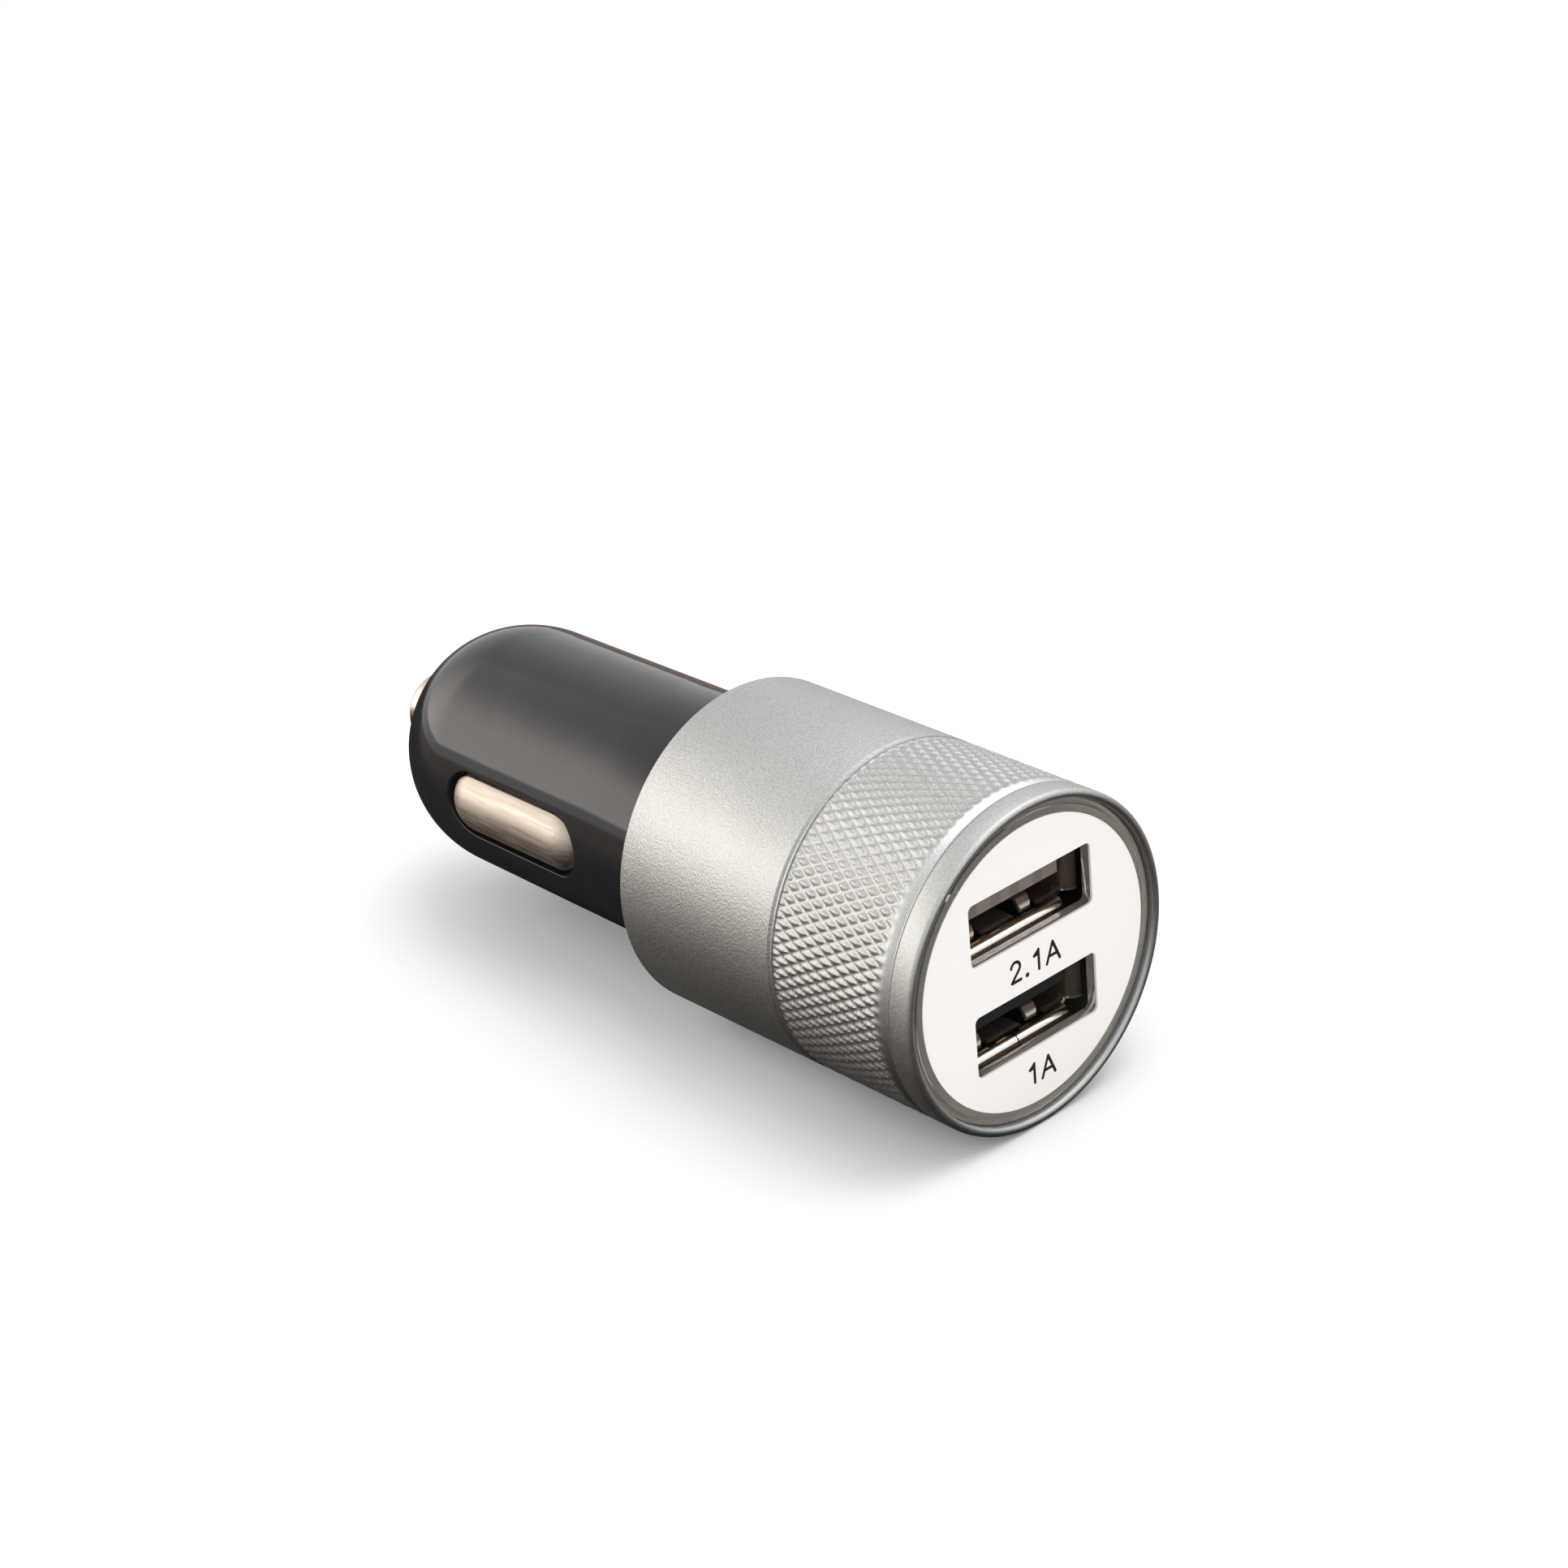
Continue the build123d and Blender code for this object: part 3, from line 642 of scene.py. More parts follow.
def blasted_aluminium(shade):
    """Bead-blasted, anodised aluminium: a fine pebble, slight clouds, and edges brightened by handling wear
    and a painted highlight.
    """
    paint = finish("blasted_aluminium")
    dimple = paint.cells(size=0.2)
    pebble = paint.noise(size=0.17, detail=1)
    cloud = paint.noise(size=5)
    flakes = paint.noise(size=0.09, detail=1).step(0.3, 0.5)
    wear_and_highlight_mark = paint.attribute("wear_and_highlight_mark")
    mottle = cloud * 0.1 + pebble * 0.9
    base = paint.tones(mottle.step(0.3, 0.7), shade, dark=0.9, light=1.1)
    # Wear and painted highlight: the crest and the chamfer take a lighter tint of the metal in flakes
    base = paint.blend(wear_and_highlight_mark * flakes, base, tint(shade, 1.5))
    rough = pebble.about(0.49, swing=0.12) - wear_and_highlight_mark * 0.12
    relief = (dimple * 0.6 + pebble) * paint.attribute("blasted")
    normal = paint.bump(relief, depth=0.03, strength=0.8)
    return paint.surface(Base_Color=base, Metallic=1.0, Roughness=rough, Normal=normal)


def polished_black(shade):
    """Glossy black moulding with the faintest waviness and fine hairlines."""
    paint = finish("polished_black")
    wave = paint.noise(size=3, detail=1)
    hair = paint.noise(size=0.5, roughness=0.6, stretch=(1, 0.04, 1))
    base = paint.tones(wave, shade, dark=0.8, light=1.3)
    rough = 0.09 + hair.step(0.55, 0.8) * 0.06
    normal = paint.bump(wave, depth=0.001, strength=0.1)
    return paint.surface(Base_Color=base, Roughness=rough, Normal=normal, IOR=1.5)


def clear_plastic(shade):
    """Clear moulding with slightly hazy patches."""
    paint = finish("clear_plastic")
    haze = paint.noise(size=2)
    base = paint.tones(haze, shade, dark=0.97, light=1)
    rough = 0.02 + haze.step(0.45, 0.8) * 0.05
    return paint.surface(Base_Color=base, Roughness=rough, Transmission_Weight=0.82, IOR=1.49)


def label_film(shade):
    """Printed white film: a silky surface with a faint mottle."""
    paint = finish("label_film")
    mottle = paint.noise(size=0.8, detail=3)
    base = paint.tones(mottle, shade, dark=0.985, light=1.01)
    normal = paint.bump(paint.noise(size=0.35, detail=1), depth=0.003, strength=0.3)
    return paint.surface(Base_Color=base, Roughness=mottle.about(0.35, swing=0.1), Normal=normal)


def plain(name, shade, size, tones, rough, swing=0.1, depth=0.0, stripes=(), cells=False):
    """Plain finish: one pattern of a grain's size gives its tones, its gloss and the depth of its relief.

    Stripes darken soft bands at places across the piece, which are given in millimetres.
    """
    paint = finish(name)
    grain = paint.cells(size) if cells else paint.noise(size)
    base = paint.tones(grain, shade, *tones)
    if stripes:
        across = paint.axes()[0]
        mask = 0.0
        for middle in stripes:
            band = 1 - abs(across - middle).step(*STRIPE_EDGE)
            mask = band.largest(mask)
        base = paint.blend(mask * 0.5, base, tint(shade, 0.55))
    relief = {"Normal": paint.bump(grain, depth, strength=0.4)} if depth else {}
    return paint.surface(Base_Color=base, Roughness=grain.about(rough, swing), **relief)


def compound(name, shade, rough, stripes=()):
    """Moulding compound with a fine grain."""
    return plain(name, shade, 0.15, tones=(0.92, 1.06), rough=rough, depth=0.006, stripes=stripes)


def plated(name, shade, rough, grain, stretch=EVEN):
    """Bright plated metal: fine drawn lines along one axis and soft clouds in the gloss."""
    paint = finish(name)
    lines = paint.noise(grain, roughness=0.6, stretch=stretch)
    cloud = paint.noise(size=2.5)
    base = paint.tones(lines * 0.6 + cloud * 0.4, shade, dark=0.9, light=1.08)
    gloss = lines.about(rough, swing=rough) + cloud.step(0.5, 0.8) * 0.05
    normal = paint.bump(lines, depth=0.004, strength=0.35)
    return paint.surface(Base_Color=base, Metallic=1.0, Roughness=gloss, Normal=normal)


def socket_sheet(shade, shaded, face):
    """Plated sheet of the ports: bright and drawn on the lips, and with painted shade inside and on the
    fingers, where it is brown, rougher and less metallic.
    """
    paint = finish("socket_sheet")
    _, y, z = paint.axes()
    lines = paint.noise(size=0.25, roughness=0.6, stretch=(1, 0.08, 1))
    heights, edge = (face.upper_height, face.lower_height), (face.shade_height / MM, face.bright_height / MM)
    upper, lower = (abs(z - height / MM).step(*edge) for height in heights)
    mouth = low("port_shell_upper", 1) + face.bright_depth / MM
    # Painted shade: the sheet turns brown behind the mouth and near each port's middle height, on the
    # fingers
    inside = y.step(mouth, mouth + face.shade_run / MM).largest(1 - upper * lower)
    bright = paint.tones(lines, shade, dark=0.9, light=1.08)
    base = paint.blend(inside, bright, paint.tones(lines, shaded, dark=0.8, light=1.2))
    rough = lines.about(0.15, swing=0.12) + inside * 0.18
    normal = paint.bump(lines, depth=0.004, strength=0.35)
    return paint.surface(Base_Color=base, Metallic=1 - inside * 0.5, Roughness=rough, Normal=normal)


def board_laminate(shade):
    """Green solder mask over tracks: crossed bands of lighter copper under the film, and a fine weave."""
    paint = finish("board_laminate")
    x, y, z = paint.axes()
    bands = ((x + z) * 2.6).sine().step(0.55, 0.75)
    ties = (y * 1.7).sine().step(0.7, 0.85)
    patches = paint.noise(size=6, detail=1).step(0.45, 0.5)
    tracks = bands.largest(ties) * patches
    weave = (x * 14.0).sine() * (y * 14.0).sine()
    base = paint.tones(tracks, shade, dark=1, light=2.2)
    normal = paint.bump(tracks + weave * 0.1, depth=0.02, strength=0.5)
    return paint.surface(Base_Color=base, Roughness=0.32 + weave * 0.05, Normal=normal)


def wound_copper(shade, wire=0.42):
    """Enamelled wire laid in level turns up the core, one turn in the wire's width, with painted shade in
    the creases between the turns.
    """
    paint = finish("wound_copper")
    turns = (paint.axes()[2] * (2 * pi / wire)).sine()
    fleck = paint.noise(size=0.3)
    # Painted shade: the colour darkens in the creases between the wire's turns
    base = paint.tones(turns.step(-0.6, 0.9), shade, dark=0.45, light=1)
    rough = fleck.about(0.34, swing=0.12)
    normal = paint.bump(turns, depth=0.08, strength=0.8)
    return paint.surface(Base_Color=base, Metallic=1.0, Roughness=rough, Normal=normal)


def capped_chip(node, shade, tin, half_body):
    """Chip component: a fired body with tinned caps beyond a distance from its row's middle line."""
    paint = finish(node)
    middle = (low(node, 0) + high(node, 0)) / 2
    cap = abs(paint.axes()[0] - middle).step(half_body, half_body + 0.04)
    speckle = paint.noise(size=0.12)
    base = paint.blend(cap, paint.tones(speckle, shade, dark=0.8, light=1.2), tin)
    rough = 0.45 - cap * 0.15 + speckle * 0.08
    normal = paint.bump(speckle, depth=0.005, strength=0.4)
    return paint.surface(Base_Color=base, Metallic=cap, Roughness=rough, Normal=normal)


# Pieces


def knurl_cut(angles, stations, sizes):
    """Depth of the crossed V grooves.

    Each of the two helices has the phase starts * angle / turn plus or minus station / pitch. A groove is
    deepest where its phase is whole, and its sides rise evenly to the flat top of a diamond.
    """
    turn = sizes.knurl_starts * angles[None, :] / (2 * pi)
    reach = stations[:, None] / sizes.knurl_pitch
    phase = np.stack([turn + reach, turn - reach])
    away = np.abs(2 * (phase - np.floor(phase)) - 1).max(0)
    return sizes.knurl_depth * np.clip((away - sizes.knurl_flat) / (1 - sizes.knurl_flat), 0, 1)


class CHARGER_OT_sleeve(Operator):
    """Builds the turned and knurled sleeve"""

    bl_idname = "charger.sleeve"
    bl_label = "Sleeve"

    def execute(self, context):
        s = settings().sleeve
        r, front, edge = s.radius, s.front, s.edge_round
        tiny = edge / 3
        seat = front + s.mouth_depth
        middle = front / 2
        scribe, half = front + s.scribe, s.scribe_half
        collar = front + s.collar
        groove = r - s.collar_groove
        chamfer_start = collar + 2 * s.run_in
        chamfer_end = front + s.chamfer_end
        slope = s.collar_groove / (chamfer_end - collar - s.run_in)
        lip = [
            (s.bore, middle),
            (s.bore, seat),
            (s.mouth, seat),
            (s.mouth, front, s.lip_round),
            (r, front, s.lip_round),
            (r, scribe - half, tiny),
            (r - s.scribe_depth, scribe, tiny),
            (r, scribe + half, tiny),
            (r, collar),
            (groove, collar + s.run_in),
            (groove + slope * s.run_in, chamfer_start),
        ]
        knurl_end = front + s.knurl_end
        land = front + s.land_end
        shoulder = [
            (r - s.knurl_depth / 2, knurl_end + tiny),
            (r - s.knurl_depth, knurl_end + edge, tiny),
            (r, knurl_end + 3 * edge),
            (r, land),
            (r - s.rear_groove, land + s.run_in),
            (r, land + s.rear_groove_width),
            (r, 0, s.rear_round),
            (s.lip_hole, 0),
            (s.lip_hole, -s.lip_thickness),
            (s.bore, -s.lip_thickness),
            (s.bore, middle / 2),
        ]
        lip, shoulder = (rounded(corners, edge, steps=4) for corners in (lip, shoulder))
        angles = full_turn(s.knurl_starts * s.knurl_cells)
        step = s.knurl_pitch / s.knurl_cells
        band = step * np.arange(np.ceil(chamfer_start / step) + 1, np.floor(knurl_end / step) + 1)
        cone = np.minimum(r, groove + slope * (band - collar - s.run_in))
        deepening = np.clip((band - chamfer_end) / s.knurl_run, 0, 1)
        knurled = np.minimum(cone[:, None], r - deepening[:, None] * knurl_cut(angles, band, s))
        even = np.ones((1, len(angles)))
        radius = np.concatenate([lip[:, :1] * even, knurled, shoulder[:, :1] * even])
        station = np.concatenate([lip[:, 1], band, shoulder[:, 1]])
        skin = Skin().add(turned(radius, station, angles), close_rows=True, height=radius.ravel())
        metal = blasted_aluminium(settings().colours.aluminium)
        piece = place("sleeve_knurled", skin, metal, node="sleeve", crease=40)
        self.mark_metal(piece.data, s)
        return {"FINISHED"}

    def mark_metal(self, mesh, s):
        """Marks where handling wear and a painted highlight brighten the metal, and how deep the blasting
        is.

        The brightening falls off from the front lip's crest as exp(-(distance / width) squared), and is even
        on the knurl's chamfer. The blasting is less deep on the knurl, the lip and the collar.
        """
        x, y, z = coordinates(mesh)
        behind = y - s.front
        crest = np.exp(-((behind / s.crest_width) ** 2)) * (np.hypot(x, z) > s.mouth - s.edge_round)
        chamfer = (behind > s.collar + s.run_in) & (behind < s.chamfer_end)
        # Wear and painted highlight: the front lip's crest and the knurl's chamfer are marked for a lighter
        # tint
        mark(mesh, "wear_and_highlight_mark", np.clip(s.rubbing * (crest + chamfer), 0, 1))
        sharp = (behind > s.collar) & (behind < s.knurl_end) | (behind < s.lip_round)
        places = [sharp, behind < s.collar]
        mark(mesh, "blasted", np.select(places, [s.knurl_blasting, s.collar_blasting], 1.0))


def stadium(along, across, half_straight, radius):
    """Where rays from the middle leave a round-ended slot, and the outline's normal there.

    A ray leaves through a straight side where the side's distance is reached before the straight ends, and
    otherwise through the end circle about that end of the straight.
    """
    reach = np.hypot(along, across)
    along, across = along / reach, across / reach
    side = radius / np.maximum(np.abs(across), TINY)
    on_side = side * np.abs(along) <= half_straight
    end = half_straight * np.abs(along)
    end = end + np.sqrt(np.maximum(radius**2 - (half_straight * across) ** 2, 0))
    distance = np.where(on_side, side, end)
    a, b = distance * along, distance * across
    centre = np.clip(a, -half_straight, half_straight)
    return a, b, (a - centre) / radius, b / radius


def slot_patch(body, facing, bends=7, growth=1.4):
    """Half-turn of the barrel round one slot: inside, slot wall, rounded edge and outside in one grid.

    Rings run round the slot. The outermost follow the patch's border, the innermost the slot's outline, and
    the rings between are steps from one to the other in angle and station, at even shares to the power of
    the growth, so that they widen towards the border. The edge is rounded in a number of bends.
    """
    half, rows, quarter = body.columns // 2, body.patch_rows, pi / 2
    sweep = np.linspace(-quarter, quarter, half + 1)
    run = np.linspace(body.land, body.barrel, rows + 1)
    bearing = np.concatenate([sweep[:-1], np.full(rows, quarter), sweep[:0:-1], np.full(rows, -quarter)])
    station = np.concatenate([np.full(half, body.land), run[:-1], np.full(half, body.barrel), run[:0:-1]])
    radius, straight = body.slot_width / 2, (body.slot_length - body.slot_width) / 2
    rays = station - body.slot_centre, body.radius * bearing
    along, across, normal_along, normal_across = stadium(*rays, straight, radius)
    draft = (body.end_radius - body.radius) / (body.barrel - body.land)

    def outside(y):
        """Radius of the barrel's drafted outside."""
        return body.radius + draft * (y - body.land)

    def outline(spread):
        """Station and height of the slot's outline, widened by a spread."""
        return body.slot_centre + along + spread * normal_along, across + spread * normal_across

    def depth_ring(spread, depth):
        """Ring that lies a spread beyond the slot's outline and a depth below the barrel's surface."""
        y, z = outline(spread)
        return points(np.sqrt(outside(y) ** 2 - z**2) - depth, y, z)

    def surface_rings(spread, reach, shares):
        """Rings on a round surface between the slot's outline and the border."""
        y, z = outline(spread)
        turn = np.arcsin(z / reach(y))
        turns = turn + shares[:, None] * (bearing - turn)
        stations = y + shares[:, None] * (station - y)
        r = reach(stations)
        return points(r * np.cos(turns), stations, r * np.sin(turns))

    edge = body.slot_round
    shares = np.linspace(0, 1, body.patch_rings) ** growth
    inside = surface_rings(0, lambda y: np.full_like(y, body.bore), shares[::-1])
    bend = np.linspace(0, quarter, bends)
    rounding = [depth_ring(*ring) for ring in edge * (1 - np.stack([np.cos(bend), np.sin(bend)], -1))]
    grid = np.concatenate([inside, rounding, surface_rings(edge, outside, shares[1:])])
    return grid * np.array([facing, 1, facing])


def dome(body, wall, inner_radius, steps=40):
    """Quarter-ellipse of the nose, moved inwards by a wall, from its foot to an inner radius."""
    radial = body.end_radius - body.nose_inset - wall
    last = np.arccos((inner_radius - body.nose_inset) / radial)
    a = np.linspace(0, last, steps)
    return np.stack([body.nose_inset + radial * np.cos(a), body.barrel + (body.nose - wall) * np.sin(a)], -1)


class CHARGER_OT_body(Operator):
    """Builds the black plug body with its slots and nose"""

    bl_idname = "charger.body"
    bl_label = "Plug body"

    def execute(self, context):
        b = settings().body
        edge = b.edge_round
        outer = dome(b, 0, b.tip_hole + b.nose_flat)
        inner = dome(b, b.wall, b.boss)[::-1]
        guide = [
            outer[-1],
            (b.tip_hole, outer[-1, 1]),
            (b.tip_hole, b.chamber_end),
            (b.chamber, b.chamber_end),
            (b.chamber, b.boss_back),
            (b.boss, b.boss_back),
            inner[0],
        ]
        nose = np.concatenate([outer, rounded(guide, edge)[1:-1], inner])
        step = b.flange_back - b.wall
        flange_bore = b.flange - b.wall
        root = [
            (b.bore, b.land),
            (b.bore, step),
            (flange_bore, step),
            (flange_bore, b.flange_front),
            (b.flange, b.flange_front),
            (b.flange, b.flange_back),
            (b.neck, b.flange_back),
            (b.neck, 0, edge / 2),
            (b.radius, 0),
            (b.radius, b.land),
        ]
        skin, angles = Skin(), full_turn(b.columns, -pi / 2)
        for profile in (nose, rounded(root, edge)):
            skin.add(turned(*profile.T, angles))
        for facing in (1, -1):
            skin.add(slot_patch(b, facing))
        black = polished_black(settings().colours.black)
        place("plug_barrel", skin, black, node="plug_body", crease=35)
        return {"FINISHED"}


def window_rays(face, radius, corner_rays=9, wide_rays=14, high_rays=6):
    """Directions from a window's middle that meet its sides, its corners and the plate's border well."""
    half_width, half_height, corner = face.window_width / 2, face.window_height / 2, face.window_corner
    quarter = np.linspace(0, pi / 2, corner_rays)
    arc_x = half_width - corner + corner * np.cos(quarter)
    arc_z = half_height - corner + corner * np.sin(quarter)
    side_x = np.linspace(0, half_width - corner, wide_rays)[1:-1]
    side_z = np.linspace(0, half_height - corner, high_rays)[1:-1]
    sides = np.arctan2(side_z, half_width), np.arctan2(half_height, side_x)
    first = np.concatenate([*sides, np.arctan2(arc_z, arc_x), [0, pi / 2]])
    ring = np.concatenate([first, pi - first, -first, first - pi, full_turn(face.rim_rays)])
    split = (face.upper_height - face.lower_height) / 2
    middle = face.upper_height - split
    meeting = np.arctan2(-split, np.sqrt(radius**2 - middle**2))
    return np.unique(np.round(np.concatenate([ring, [meeting, -pi - meeting]]) % (2 * pi), 9))


def window_border(angles, face):
    """Where rays from a window's middle leave its rounded rectangle."""
    half_width, half_height, corner = face.window_width / 2, face.window_height / 2, face.window_corner
    c, s = np.abs(np.cos(angles)), np.abs(np.sin(angles))
    straight = np.minimum(half_width / np.maximum(c, TINY), half_height / np.maximum(s, TINY))
    p, q = half_width - corner, half_height - corner
    rounded_off = p * c + q * s + np.sqrt(np.maximum(corner**2 - (p * s - q * c) ** 2, 0))
    in_corner = (straight * c > p) & (straight * s > q)
    return np.where(in_corner, rounded_off, straight)


def plate_border(angles, height, radius, split):
    """Where rays from a window's middle leave its half of a disc that is split along a level line."""
    c, s = np.cos(angles), np.sin(angles)
    to_circle = -height * s + np.sqrt(radius**2 - (height * c) ** 2)
    drop = split - height
    to_split = np.where(s * drop > 0, drop / np.where(s == 0, 1, s), np.inf)
    return np.minimum(to_circle, to_split)


def windowed_plate(face, profile, rings=4):
    """Plate with both windows, whose turned rim is a profile that ends at the radius where it starts.

    A flat face lies at either end of the profile. It is a fan of quads round each window, from the window's
    outline to the rim or to the level line halfway between the windows, and walls join the outlines.
    """
    radius, stations = profile[0, 0], profile[[0, -1], 1]
    split = (face.upper_height + face.lower_height) / 2
    rays = window_rays(face, radius)
    shares = np.linspace(0, 1, rings)[:, None]
    skin, rims = Skin(), []
    for height, angles in ((face.upper_height, rays), (face.lower_height, -rays)):
        inner, outer = window_border(angles, face), plate_border(angles, height, radius, split)
        reach = inner + shares * (outer - inner)
        x, z = reach * np.cos(angles), height + reach * np.sin(angles)
        for station in stations:
            skin.add(points(x, station, z))
        skin.add(points(x[0], stations[:, None], z[0]))
        on_rim = np.hypot(x[-1], z[-1]) > radius * (1 - CLOSE)
        rims.append(np.arctan2(z[-1], x[-1])[on_rim])
    rim = np.sort(np.concatenate(rims) % (2 * pi))
    rim = rim[np.diff(rim, prepend=rim[-1] - 2 * pi) > CLOSE]
    return skin.add(turned(*profile.T, rim))


def signs():
    """Strokes of the printed signs, with a height of one.

    The two is an arc that runs on into a slope, and a foot. The one is an upright at the origin with a
    filled flag to its left, the A is two legs and a bar, and the stop is a square dot on the base line.
    """
    line = np.linspace
    turn = np.radians(line(170, -40, 24))
    bowl = np.stack([0.30 + 0.28 * np.cos(turn), 0.71 + 0.28 * np.sin(turn)], -1)
    slope = line(bowl[-1], (0.03, 0.02), 8)[1:]
    flag = [line((-0.29, 0.77), (0, 0.98), 5), line((-0.25, 0.76), (0, 0.82), 5)]
    legs = [line((0, 0), (0.42, 1), 6), line((0.42, 1), (0.84, 0), 6)]
    return {
        "two": [np.concatenate([bowl, slope]), line((0.03, 0.0), (0.61, 0.0), 6)],
        "one": [line((0, 0), (0, 1), 6), *flag],
        "A": [*legs, line((0.14, 0.33), (0.70, 0.33), 6)],
        "stop": [line((-0.035, height), (0.035, height), 3) for height in (0.0, 0.06)],
    }


def printed(face, marks, base, cap_steps=5):
    """Round-ended ribbons of ink along the strokes of a row of signs.

    A ribbon's edges lie half a stroke's width to either side of its path; beyond each end the width falls
    off as a circle's chord does.
    """
    skin, half = Skin(), face.mark_stroke / 2
    cap = np.linspace(0, pi / 2, cap_steps, endpoint=False)
    for sign, place_across in marks:
        for order, stroke in enumerate(signs()[sign]):
            path = stroke * face.mark_height + np.array([place_across * MM, base])
            along = unit(np.gradient(path, axis=0))
            lead = path[0] - np.outer(half * np.cos(cap), along[0])
            trail = path[-1] + np.outer(half * np.cos(cap[::-1]), along[-1])
            middle = np.concatenate([lead, path, trail])
            along = np.pad(along, ((len(cap), len(cap)), (0, 0)), "edge")
            width = np.concatenate([half * np.sin(cap), np.full(len(path), half), half * np.sin(cap[::-1])])
            side = np.stack([-along[:, 1], along[:, 0]], -1) * width[:, None]
            top = face.front - face.mark_thickness * (1 + face.mark_lap * order)
            edges = ((1, top), (-1, top), (-1, face.front), (1, face.front))
            outlines = [(middle + hand * side, y) for hand, y in edges]
            skin.add(np.stack([points(p[:, 0], y, p[:, 1]) for p, y in outlines], 1))
    return skin


class CHARGER_OT_face(Operator):
    """Builds the clear face, its label and the printed ratings"""

    bl_idname = "charger.face"
    bl_label = "Face"

    def execute(self, context):
        f, colours = settings().face, settings().colours
        plate = windowed_plate(f, self.stepped_rim(f))
        place("clear_plate", plate, clear_plastic(colours.clear), node="clear_face")
        label = windowed_plate(f, np.array([(f.label_radius, f.front), (f.label_radius, f.label_back)]))
        place("label_disc", label, label_film(colours.label), node="face_label")
        ink = plain("printed_ink", colours.ink, 0.12, tones=(0.7, 1.8), rough=0.48, swing=0.12)
        place("upper_rating", printed(f, UPPER_MARK, f.upper_mark_base), ink)
        place("lower_rating", printed(f, LOWER_MARK, f.lower_mark_base), ink)
        return {"FINISHED"}

    def stepped_rim(self, f):
        """Profile of the clear plate: the recess for the label, the rim with its step, and the back."""
        recess, step = f.label_radius + f.recess_gap, f.radius - f.step_width
        tread = f.front + f.step_depth
        corners = [
            (recess, f.label_back + f.recess_gap),
            (recess, f.front),
            (step, f.front),
            (step, tread),
            (f.radius, tread),
            (f.radius, f.back),
            (recess, f.back),
        ]
        return rounded(corners, f.edge_round)


class CHARGER_OT_ports(Operator):
    """Finishes the folded port shells, tongues and contact strips"""

    bl_idname = "charger.ports"
    bl_label = "USB ports"

    def execute(self, context):
        face, colours = settings().face, settings().colours
        sheet = socket_sheet(colours.sheet, colours.shaded_sheet, face)
        dress(sheet, "port_shell_upper", "port_shell_lower")
        # The upper tongue's pale moulding takes a painted shade
        dress(compound("shaded_pale_tongue", colours.pale, 0.4, CONTACT_PLACES), "port_tongue_upper")
        dress(compound("dark_tongue", colours.dark, 0.35), "port_tongue_lower")
        gold = plated("gold_flash", colours.gold, rough=0.2, grain=0.15, stretch=(1, 0.1, 1))
        dress(gold, "port_contacts_upper", "port_contacts_lower")
        return {"FINISHED"}


def stadium_ring(half_straight, per_end, per_side):
    """Axis stations and outward normals once round a slot shape, in even steps on its ends and sides."""
    turn = np.linspace(-pi / 2, pi / 2, per_end + 1)
    run = np.linspace(half_straight, -half_straight, per_side + 1)[1:-1]
    ends, level = np.full(per_end + 1, half_straight), np.zeros(len(run))
    axis = np.concatenate([ends, run, -ends, -run])
    along = np.concatenate([np.cos(turn), level, -np.cos(turn), level])
    across = np.concatenate([np.sin(turn), level + 1, -np.sin(turn), level - 1])
    return axis, along, across


